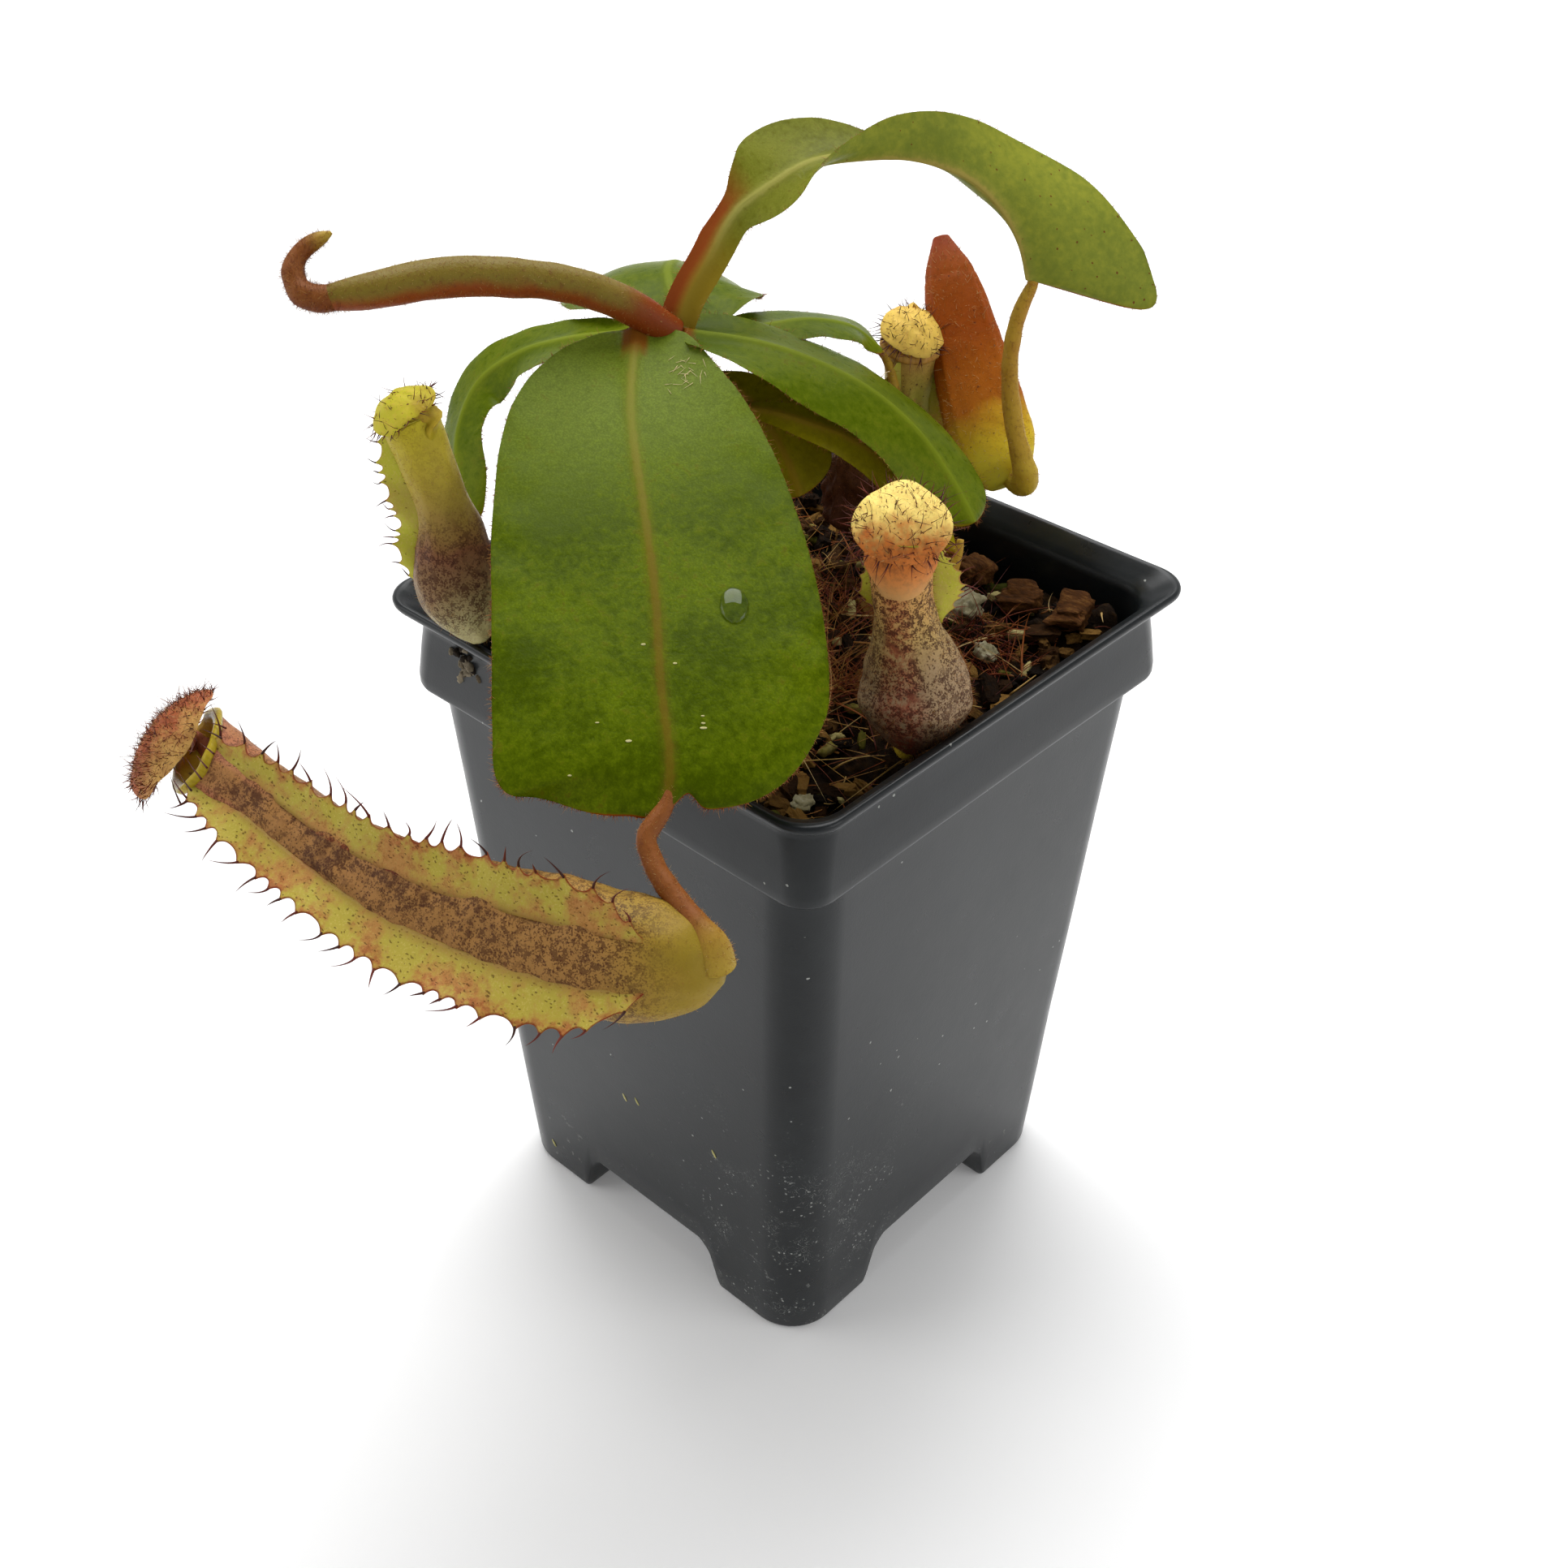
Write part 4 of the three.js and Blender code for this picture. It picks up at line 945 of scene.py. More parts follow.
@dataclass
class Pot:
    """Tall square nursery pot on four corner feet, with a collar, a flared rim and arches between feet.

    The plan is a square whose corners are rounded. A point of it is given by two coordinates from -1 to 1:
    up to 0.8 they run along the straight part, and past it they cross the corner, where a square patch is
    turned into a quarter disc by x = u * sqrt(1 - v*v/2) and y = v * sqrt(1 - u*u/2).
    """

    straight: float = 0.8
    foot_half: float = 36.1
    top_half: float = 42.1
    corner: float = 8.5
    collar_foot: float = 108.5
    wall_top: float = 106.8
    floor_top: float = 12.6
    arch_height: float = 10.0
    arch_half: float = 16.4
    arch_side: float = 1.5
    sole_round: float = 1.3
    drain_radius: float = 4.0
    drain_reach: float = 22.0

    def plan(self, a: Array, b: Array, half: Array, corner: Array) -> tuple[Array, Array]:
        """Places the plan's coordinates on a rounded square.

        Args:
            a: Coordinates across the square.
            b: Coordinates up the square.
            half: Half width of the square.
            corner: Radius of its corners.

        Returns:
            The places' x and y.
        """
        qa = np.maximum(np.abs(a) - self.straight, 0) / (1 - self.straight)
        qb = np.maximum(np.abs(b) - self.straight, 0) / (1 - self.straight)
        run_a, run_b = np.minimum(np.abs(a) / self.straight, 1), np.minimum(np.abs(b) / self.straight, 1)
        x = np.sign(a) * ((half - corner) * run_a + corner * qa * np.sqrt(1 - qb**2 / 2))
        y = np.sign(b) * ((half - corner) * run_b + corner * qb * np.sqrt(1 - qa**2 / 2))
        return x, y

    def lines(self) -> Array:
        """Spaces the plan's coordinate, close together at the arches' sides and round the corners."""
        flat = self.foot_half - self.corner
        side = np.concatenate([np.linspace(0, 12.4, 7)[:-1], np.linspace(12.4, 18, 15)[:-1],
                               np.linspace(18, flat, 6)[:-1]]) / flat * self.straight
        half = np.concatenate([side, np.linspace(self.straight, 1, 9)])
        return np.concatenate([-half[:0:-1], half])

    def underside(self, x: Array, y: Array) -> Array:
        """Height of the arches over a place: each channel steps up smoothly at its sides, and the higher
        of the two crossing channels counts. The drain holes show as shallow wells."""
        def channel(t: Array) -> Array:
            """One channel's height at a distance across it."""
            inside = self.arch_half + self.arch_side - np.abs(t)
            wall = ease(inside, 0.0, 2 * self.arch_side) * 0.72
            return self.arch_height * (wall + 0.28 * ease(inside, self.arch_side, 5.5))
        height = np.maximum(channel(x), channel(y))
        for hx, hy in ((0, 0), (1, 0), (-1, 0), (0, 1), (0, -1)):
            away = np.hypot(x - hx * self.drain_reach, y - hy * self.drain_reach)
            height = height + 1.2 * ease(away, self.drain_radius + 0.3, self.drain_radius - 0.3)
        return height

    def profile(self) -> list[tuple[float, float, float]]:
        """Outline above the body wall: half width, corner radius and height, up, over and down inside."""
        return [(42.05, 8.5, 107.2), (42.2, 8.4, 107.6), (42.9, 7.2, 107.95), (43.5, 6.0, 108.15),
                (43.82, 5.4, 108.5), (43.9, 5.1, 109.0), (43.86, 5.0, 110.5), (43.4, 5.6, 116),
                (43.1, 6.2, 119.6), (43.1, 6.5, 120.4), (43.3, 6.6, 121.0), (43.8, 6.6, 121.6),
                (44.6, 6.6, 122.3), (45.4, 6.6, 122.95), (45.95, 6.6, 123.45), (46.25, 6.6, 123.9),
                (46.32, 6.6, 124.35), (46.2, 6.6, 124.75), (45.85, 6.6, 124.98), (45.5, 6.6, 124.95),
                (45.1, 6.6, 124.7), (44.3, 6.6, 124.0), (43.3, 6.6, 123.2), (42.4, 6.6, 122.4),
                (41.9, 6.6, 121.6), (41.7, 6.6, 120.6), (41.5, 6.8, 116), (41.1, 7.2, 110.5),
                (40.8, 7.5, 107.3), (38.6, 7.5, 60), (35.7, 7.5, self.floor_top)]

    def build(self) -> Clay:
        """Makes the pot's skin: the underside as a grid, and the walls as rings on the grid's border."""
        line = self.lines()
        a, b = np.meshgrid(line, line, indexing="ij")
        x, y = self.plan(a, b, self.foot_half - self.sole_round, self.corner - self.sole_round)
        under = np.stack([x, y, self.underside(x, y)], axis=-1).reshape(-1, 3)
        grid, loop = lattice(len(line))
        la, lb = a.reshape(-1)[loop], b.reshape(-1)[loop]
        base = under[loop, 2]
        rows = [(base + self.sole_round * (1 - np.cos(turn)), self.sole_round * (1 - np.sin(turn)))
                for turn in np.linspace(0, np.pi / 2, 5)[1:]]
        start = base + self.sole_round
        rows += [(start + (self.wall_top - start) * share, 0.0) for share in np.linspace(0, 1, 26)[1:] ** 0.9]
        rings = []
        for z, pull in rows:
            half = self.foot_half + (self.top_half - self.foot_half) * z / self.collar_foot - pull
            rings.append(np.stack([*self.plan(la, lb, half, self.corner - pull), z], -1))
        for half, corner, z in self.profile():
            rings.append(np.stack([*self.plan(la, lb, half, corner), np.full(len(la), z)], -1))
        walls = np.array(rings)
        wave = ripple(walls * MM, 60, 3)[..., None] * 0.12 * ease(walls[..., 2:], 12, 40)
        walls[..., :2] += walls[..., :2] / 40 * wave
        points = np.vstack([under, walls.reshape(-1, 3), [[0, 0, self.floor_top]]])
        here = np.vstack([loop, len(under) + np.arange(walls[..., 0].size).reshape(walls.shape[:2])])
        nxt = np.roll(here, -1, axis=1)
        quads = np.stack([here[:-1], nxt[:-1], nxt[1:], here[1:]], -1).reshape(-1, 4)
        cap = np.column_stack([np.full(len(loop), len(points) - 1), here[-1], nxt[-1]])
        marks = {"height": points[:, 2], "corner": ease(points[:, 0] - points[:, 1], 30, 72)}
        return Clay().add(SITE.metres(points), [grid, quads, cap], marks)

    def dress(self) -> None:
        """Puts the pot into the scene."""
        settle("pot_wall", self.build(), PlasticFinish().make(), "pot_plastic", "pot")


# ------------------------------------------------------------------ what fills the pot
def mix_height(x: Array, y: Array) -> Array:
    """Height of the bark mix: gentle lumps, banked up to the right, with a pit by the wall.

    Args:
        x: Places' x in millimetres from the axis.
        y: Their y.

    Returns:
        Their heights.
    """
    lumps = np.sin(x * 0.21 + 1) * np.cos(y * 0.17) + 0.6 * np.sin(x * 0.39 - y * 0.33)
    pit = 3.0 * np.exp(-((x - 28) ** 2 + (y + 12) ** 2) / 90)
    return 113 + 1.5 * lumps + 0.045 * (x + y) - pit


@dataclass
class GrowingMedium:
    """Block of bark mix that fills the pot, with a crumbly top."""

    half: float = 39.9
    foot_half: float = 35.3
    corner: float = 7.2
    floor: float = 13.0
    crumb: float = 1.3
    count: int = 170

    def build(self) -> Clay:
        """Makes the top as a grid of heights, with ridged crumbs, and the sides down to the floor."""
        line = np.linspace(-1, 1, self.count)
        a, b = np.meshgrid(line, line, indexing="ij")
        x, y = Pot().plan(a, b, self.half, self.corner)
        flat = np.stack([x, y, np.zeros_like(x)], -1) * MM
        crumbs = np.abs(ripple(flat, 9, 5)) + 0.5 * np.abs(ripple(flat, 4, 6)) + 0.22 * ripple(flat, 1.7, 7)
        z = mix_height(x, y) - 0.6 + self.crumb * (crumbs - 0.55)
        grid, loop = lattice(self.count)
        px, py = Pot().plan(a.reshape(-1)[loop], b.reshape(-1)[loop], self.foot_half, self.corner)
        foot = np.stack([px, py, np.full(len(px), self.floor)], -1)
        low = x.size + np.arange(len(loop))
        sides = np.stack([low, np.roll(low, -1), np.roll(loop, -1), loop], -1)
        cap = np.column_stack([np.full(len(low), x.size + len(low)), np.roll(low, -1), low])
        points = np.vstack([np.stack([x, y, z], -1).reshape(-1, 3), foot, [[0, 0, self.floor]]])
        return Clay().add(SITE.metres(points), [grid[:, ::-1], sides, cap])

    def dress(self) -> None:
        """Puts the block into the scene."""
        finish = EarthFinish("damp_bark_mix", seen(5, 2, 0), seen(26, 14, 3), seen(64, 42, 14), 1.1, 0.7)
        settle("bark_mix_top", self.build(), finish.make(), "bark_mix", "growing_medium")


class Grit(Enum):
    """Kinds of loose bits."""

    CHIP = "chip"
    STONE = "stone"
    CRUMB = "crumb"


def ball(rings: int) -> Array:
    """Directions from the middle of a ball, in rows from pole to pole, with twice as many columns."""
    up = np.linspace(0, np.pi, rings)[1:-1, None]
    turn = np.linspace(0, 2 * np.pi, 2 * rings, endpoint=False)[None]
    return np.stack([np.sin(up) * np.cos(turn), np.sin(up) * np.sin(turn), -np.cos(up) + 0 * turn], -1)


def pebble(centre: Array, half: Array, turn: Array, kind: Grit, seed: int, rings: int) -> Skin:
    """One loose bit: a ball pulled to three half sizes, turned, and roughened by its kind.

    A point of the ball is raised to a power so that a chip gets flat sides and edges; the roughness is
    layered sine noise, drawn out along a chip's length like wood grain.

    Args:
        centre: Its middle, in metres.
        half: Half sizes, in millimetres.
        turn: Turns about X, Y and Z, in radians.
        kind: What it is.
        seed: Picks its roughness.
        rings: Rows from pole to pole.

    Returns:
        Its surface.
    """
    whole = ball(rings)
    power = {Grit.CHIP: 0.62, Grit.STONE: 0.85, Grit.CRUMB: 0.7}[kind]
    shape = np.sign(whole) * np.abs(whole) ** power
    drawn = whole * ([0.35, 1.0, 1.0] if kind is Grit.CHIP else 1.0) * MM
    noise = ripple(drawn, 0.9, seed) * 0.2 + ripple(drawn, 0.35, seed + 1) * 0.1
    shape = shape * (1 + noise[..., None]) * half * 0.92
    spin = np.eye(3)
    for axis, angle in zip("XYZ", turn):
        spin = np.array(Matrix.Rotation(float(angle), 3, axis)) @ spin
    return Skin(shape @ spin.T * MM + centre)


@dataclass
class Litter:
    """Loose bits on top of the mix: chips and stones that stand for nodes, crumbs, fibres and moss."""

    seed: int = SEED
    reach: float = 36.5
    wall: float = 39.0

    def chips(self, name: str, kind: Grit, material: Material, slot: str) -> None:
        """Stands a rough bit in the place of each node whose name has a word in it.

        Args:
            name: The word.
            kind: What the bits are.
            material: Their finish.
            slot: The record's material slot.
        """
        for k, node in enumerate(sorted(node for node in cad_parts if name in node)):
            low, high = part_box(node)
            half = np.array(high - low) / 2 / MM * (0.95 if kind is Grit.STONE else 0.9)
            tilt = np.array([0.25, -0.2, 0.3]) * (-1) ** k
            skin = pebble(np.array(low + high) / 2, half, tilt, kind, self.seed + 7 * k, FINE_RINGS)
            settle(f"{node}_rough", Clay().skin(skin), material, slot, node)

    def ground(self, rng: np.random.Generator, count: int) -> Array:
        """Random places on the mix, in millimetres from the axis."""
        x, y = rng.uniform(-self.reach, self.reach, (2, count))
        return np.stack([x, y, mix_height(x, y)], -1)

    def crumbs(self, count: int, sizes: tuple[float, float], kind: Grit, lift: float) -> Clay:
        """Scatters small bits over the mix, each with its own tone.

        Args:
            count: How many.
            sizes: Smallest and largest half size, in millimetres.
            kind: What they are.
            lift: How far their middles stand above the mix, as a share of their size.

        Returns:
            The bits.
        """
        rng = np.random.default_rng(self.seed + count)
        clay = Clay()
        for place in self.ground(rng, count):
            size = rng.uniform(*sizes)
            half = size * np.array([rng.uniform(0.9, 1.9), rng.uniform(0.5, 0.9), rng.uniform(0.4, 0.8)])
            turn = rng.uniform(-0.5, 0.5, 3) + [0, 0, rng.uniform(0, 3.1)]
            centre = SITE.metres(place + [0, 0, size * lift])
            skin = pebble(centre, half, turn, kind, int(rng.integers(9999)), SMALL_RINGS)
            skin.marks["tone"] = rng.random()
            clay.skin(skin)
        return clay

    def fibres(self, count: int, centre: Sequence[float] | None, spread: float, lengths: tuple[float, float],
               width: float, tones: tuple[float, float], rise: float, seed: int) -> Tufts:
        """Long thin fibres that lie on the mix or stick out of it.

        Args:
            count: How many.
            centre: Middle of the patch, or None for the whole pot.
            spread: Reach of the patch.
            lengths: Shortest and longest.
            width: Half thickness.
            tones: Range of their tones.
            rise: How steeply they stick out.
            seed: Picks them.

        Returns:
            The fibres.
        """
        rng = np.random.default_rng(self.seed + seed)
        roots = self.ground(rng, count)
        if centre is not None:
            roots[:, :2] = np.asarray(centre) + rng.normal(0, spread, (count, 2))
            roots[:, 2] = mix_height(roots[:, 0], roots[:, 1])
        heading = rng.uniform(0, 2 * np.pi, count)
        aims = np.stack([np.cos(heading), np.sin(heading), rng.uniform(0.05, rise, count)], -1)
        bends = rng.normal(0, 0.25, (count, 3)) - [0, 0, 0.12]
        long = rng.uniform(*lengths, count)
        tip = roots + (unit(aims) + bends) * long[:, None]
        long *= np.where(np.abs(tip[:, :2]).max(1) > self.wall, 0.3, 1.0)
        roots[:, :2] = np.clip(roots[:, :2], 1 - self.wall, self.wall - 1)
        roots = SITE.metres(roots + [0, 0, 0.5])
        return Tufts(roots, aims, bends, long, width, rng.uniform(*tones, count), 7, 4)

    def dress(self, hair: Material) -> None:
        """Puts all the loose bits into the scene.

        Args:
            hair: Finish of the fibres.
        """
        bark = EarthFinish("bark_chip_brown", seen(26, 12, 4), seen(84, 50, 20), seen(148, 104, 54),
                           0.7, 0.6, 0.85, (0.4, 1.6, 1.6)).make()
        stone = EarthFinish("pale_stone_grey", seen(92, 86, 60), seen(148, 140, 108), seen(196, 190, 168),
                            1.0, 0.3, 0.8).make()
        crumb = EarthFinish("crumbs_of_bark", seen(14, 6, 1), seen(54, 32, 10), seen(128, 94, 44),
                            0.8, 0.5, 0.9, by_tone=True).make()
        grit = EarthFinish("grit_and_moss", seen(52, 54, 6), seen(110, 100, 34), seen(180, 166, 110),
                           0.8, 0.3, 0.85, by_tone=True).make()
        self.chips("chip", Grit.CHIP, bark, "bark_chip")
        self.chips("stone", Grit.STONE, stone, "pale_stone")
        settle("bark_crumbs", self.crumbs(420, (0.7, 2.2), Grit.CHIP, 0.2), crumb, "bark_mix", smooth=False)
        settle("grit_and_moss", self.crumbs(110, (0.5, 1.4), Grit.CRUMB, 0.5), grit, "bark_mix")
        patches = ((420, None, 0, (5, 17), 0.11, (0.1, 0.85), 0.5),
                   (60, None, 0, (10, 24), 0.22, (0.4, 0.85), 0.5),
                   (240, (11, -3), 3.6, (5, 13), 0.09, (0.3, 0.75), 1.3),
                   (260, (-4, 15), 5.0, (4, 11), 0.1, (0.2, 0.75), 1.5),
                   (150, (26, 18), 4.0, (4, 10), 0.12, (0.15, 0.6), 1.2))
        sets = [self.fibres(*patch, seed) for seed, patch in enumerate(patches, 1)]
        settle("coir_fibres", Clay().tufts(*sets), hair, "bark_mix")


# ------------------------------------------------------------------ leaves and stalks
NO_LOBE: Keys = ((0, (0, 0)), (1, (0, 0)))
THIN: Keys = ((0, 3), (0.12, 1.8), (0.3, 1), (1, 0.9))
FLAT: Keys = ((0, 0.3), (0.3, 0), (1, -0.1))
UP: Keys = ((0, (0, 0, 1)), (1, (0, 0, 1)))
LEANING: Keys = ((0, (0.2, 0.1, 1)), (1, (0.2, 0.1, 1)))


def quarter(count: int) -> Array:
    """Steps from 0 to 1 that draw together towards 1: the sine of a quarter turn."""
    return np.sin(np.linspace(0, np.pi / 2, count))


def crown(count: int) -> Array:
    """Angles of a ring's columns, clockwise from the right-hand side."""
    return -2 * np.pi * np.arange(count) / count


def wrapped(angles: Array) -> Array:
    """Brings angles between minus half a turn and half a turn."""
    return np.angle(np.exp(1j * angles))


def down_on(skin: Skin, rng: np.random.Generator, count: int, length: float, width: float,
            tones: tuple[float, float], keep: Callable[[Array], Array] | None = None,
            lean: float = 0.8) -> Tufts:
    """Short hairs that stand on a surface and lean at random.

    Args:
        skin: The surface.
        rng: Source of the random places and leans.
        count: How many places are drawn.
        length: Mean length, in millimetres.
        width: Half thickness at the root, in millimetres.
        tones: Range of the hairs' tones.
        keep: Which places stay, by share along the rows.
        lean: How far they lean over.

    Returns:
        The hairs.
    """
    place, normal = skin.scatter(rng, count, keep)
    count = len(place)
    aims = normal + rng.normal(0, lean * 0.5, (count, 3))
    bends = rng.normal(0, lean * 0.45, (count, 3))
    lengths = length * rng.uniform(0.6, 1.4, count)
    return Tufts(place - normal * 0.05 * MM, aims, bends, lengths, width, rng.uniform(*tones, count))


@dataclass
class Organ:
    """An organ of the plant that takes the place of one node: its surfaces, and the hairs on the first."""

    node: str
    slot: str = field(kw_only=True)
    PARTS: ClassVar[tuple[str, str]] = ("skin", "down")
    PICK: ClassVar[int] = 1

    def build(self) -> tuple[Skin, ...]:
        """Works out the organ's surfaces, the one that carries hairs first."""
        raise NotImplementedError

    def hairs(self, skin: Skin) -> tuple[Tufts, ...]:
        """Works out the hairs on a surface."""
        raise NotImplementedError

    def rng(self) -> np.random.Generator:
        """Source of the organ's random numbers."""
        return np.random.default_rng(SEED + len(self.node) * self.PICK)

    def show(self, part: str, clay: Clay, finish: Material, *nodes: str) -> None:
        """Puts one piece of the organ into the scene.

        Args:
            part: The piece's own name, which follows the node's.
            clay: Its surfaces.
            finish: Its finish.
            nodes: The nodes that it replaces.
        """
        settle(f"{self.node}_{part}", clay, finish, self.slot, *nodes)

    def dress(self, finish: Material, hair: Material) -> None:
        """Puts the organ and its hairs into the scene.

        Args:
            finish: Finish of the organ.
            hair: Finish of the hairs.
        """
        skins = self.build()
        self.show(self.PARTS[0], Clay().skin(*skins), finish, self.node)
        self.show(self.PARTS[1], Clay().tufts(*self.hairs(skins[0])), hair)


@dataclass
class Leaf(Organ):
    """A leaf: a rib, and across it a thin section that bends into an arc and ripples at its edges.

    Across the leaf runs c = cos(angle) raised to a power that keeps its sign, so that columns crowd at the
    rib. A point lies at place + side * c * width + face * (sin(angle) * thickness / 2 + cup * width * c*c)
    + along * lobe * c*c. The outline closes from tip_from on as a quarter oval, and may have a notch
    beside the rib, where the tendril leaves.
    """

    PARTS = ("blade", "fringe")
    PICK = 3
    rib: Points
    face: Keys
    half: Keys
    cup: Keys = FLAT
    lobe: Keys = NO_LOBE
    thick: Keys = THIN
    tip_from: float = 0.8
    rows: int = 110
    columns: int = 96
    ripple: float = 0.35
    keel: float = 0.7
    notch: tuple[float, float] = (0.0, 0.0)
    round_to: float = 0.015
    crowd: float = 1.6
    fringe: float = 0.55
    fringe_tones: tuple[float, float] = (0.35, 0.75)
    slot: str = field(default="leaf_green", kw_only=True)

    def build(self) -> tuple[Skin, ...]:
        """Works out the leaf's surface."""
        s = quarter(self.rows)
        t = s[:, None]
        rail = Rail.lay(self.rib, self.face, s)
        share = np.sqrt(1 - (np.maximum(0, t - self.tip_from) / (1 - self.tip_from)) ** 2 * 0.995)
        share = share * np.sqrt(1 - (np.maximum(0, self.round_to - t) / self.round_to) ** 2 * 0.8)
        angle = crown(self.columns)[None]
        c = np.sign(np.cos(angle)) * np.abs(np.cos(angle)) ** self.crowd
        width, reach = (np.where(c < 0, *(track(keys, s) * share).T[:, :, None])
                        for keys in (self.half, self.lobe))
        off = np.abs(c) * width
        edge = (1 - np.abs(c)) * width + (1 - t) * rail.length * 0.35
        full = track(self.thick, s)[:, None]
        thin = np.minimum(full, 0.5)
        thick = thin + (full - thin) * np.exp(-(off / 1.8) ** 2)
        flat = rail.at(c * width)
        wave = ripple(flat, 26, len(self.node)) * self.ripple
        crimp = ripple(flat, 9, len(self.node) + 3) * self.ripple * 0.35
        lift = track(self.cup, s)[:, None] * width * c**2 + wave * np.abs(c) + crimp * c**2
        above = np.sin(angle) > 0
        ridge = 0.16 * np.exp(-(off / 0.75) ** 2) * above - self.keel * np.exp(-(off / 1.1) ** 2) * ~above
        lift = lift + np.sin(angle) * thick / 2 + ridge * ease(t, 0.02, 0.12) * np.minimum(1, width / 5)
        bite = np.where(c < 0, *self.notch) * np.exp(-((off - 2.6) / 1.5) ** 2) * ease(t, 0.88, 0.98)
        marks = {"rib": off, "edge": edge, "along": t, "top": above, "across": c * width,
                 "run": t * rail.length}
        return (Skin(rail.at(c * width, lift, reach * c**2 - bite), marks),)

    def hairs(self, skin: Skin) -> tuple[Tufts, ...]:
        """Downy fringe along both margins, thicker on young leaves."""
        rng = self.rng()
        rows, columns = skin.rows.shape[:2]
        count = int(Rail.lay(self.rib, self.face, quarter(20)).length * 16 * self.fringe)
        row = rng.integers(3, rows - 1, count)
        at_right = rng.random(count) < 0.5
        column = np.where(at_right, 0, columns // 2) + rng.integers(-1, 2, count)
        mix = rng.random(count)[:, None]
        roots = skin.rows[row, column] * mix + skin.rows[row - 1, column] * (1 - mix)
        aims = skin.normals()[row, column] + rng.normal(0, 0.35, (count, 3))
        bends = rng.normal(0, 0.3, (count, 3))
        return (Tufts(roots, aims, bends, rng.uniform(0.35, 1.0, count), 0.04,
                      rng.uniform(*self.fringe_tones, count)),)


@dataclass
class Stalk(Organ):
    """Round downy stalk along a curve; an optional seam is pressed into its upper side."""

    PARTS = ("stalk", "down")
    points: Points
    radii: Keys
    rows: int = 110
    columns: int = 28
    seam: float = 0.0
    seam_at: float = 1.2
    lumps: float = 0.05
    down: int = 500
    down_length: float = 0.6
    tones: tuple[float, float] = (0.45, 0.85)

    def build(self) -> tuple[Skin, ...]:
        """Works out the stalk: radius * (1 + lumps - seam * bell(angle))."""
        s = np.linspace(0, 1, self.rows)
        rail = Rail.lay(self.points, LEANING, s)
        angle = crown(self.columns)[None]
        radius = track(self.radii, s)[:, None]
        spot = rail.at(radius * np.cos(angle))
        turn = wrapped(angle + self.seam_at)
        notch = self.seam * np.exp(-(turn / 0.16) ** 2) - self.seam * 0.5 * np.exp(-((turn - 0.4) / 0.2) ** 2)
        radius = radius * (1 + self.lumps * ripple(spot, 5, len(self.node)) - notch)
        skin = Skin(rail.at(radius * np.cos(angle), radius * np.sin(angle)), {"along": s[:, None]})
        # how far each face points up; the finish paints faces that point down in its lower colour, painted
        # shade on tendrils and stem
        skin.marks["upward"] = skin.normals()[..., 2] * 0.5 + 0.5
        return (skin,)

    def hairs(self, skin: Skin) -> tuple[Tufts, ...]:
        """Short down all over the stalk."""
        return (down_on(skin, self.rng(), self.down, self.down_length, 0.03, self.tones),)


# ------------------------------------------------------------------ pitchers
@dataclass(frozen=True)
class Wing:
    """How a pitcher's two wings run: from and to along the cup, rooted turn radians from its front.

    A wing leaves the wall at lean radians from the cup's front direction and curls by curl towards it.
    Its margin is drawn out into teeth every tooth_gap millimetres, with a bristle on each tooth. The
    second wing may be a share as high as the first and lean over more.
    """

    start: float
    end: float
    turn: float
    lean: float
    height: Keys
    curl: float = 0.3
    tooth_gap: float = 3.0
    tooth: float = 0.9
    bristle: float = 2.6
    bristle_width: float = 0.085
    thick: float = 0.5
    rows: int = 420
    upper_share: float = 1.0
    upper_lean: float = 0.0


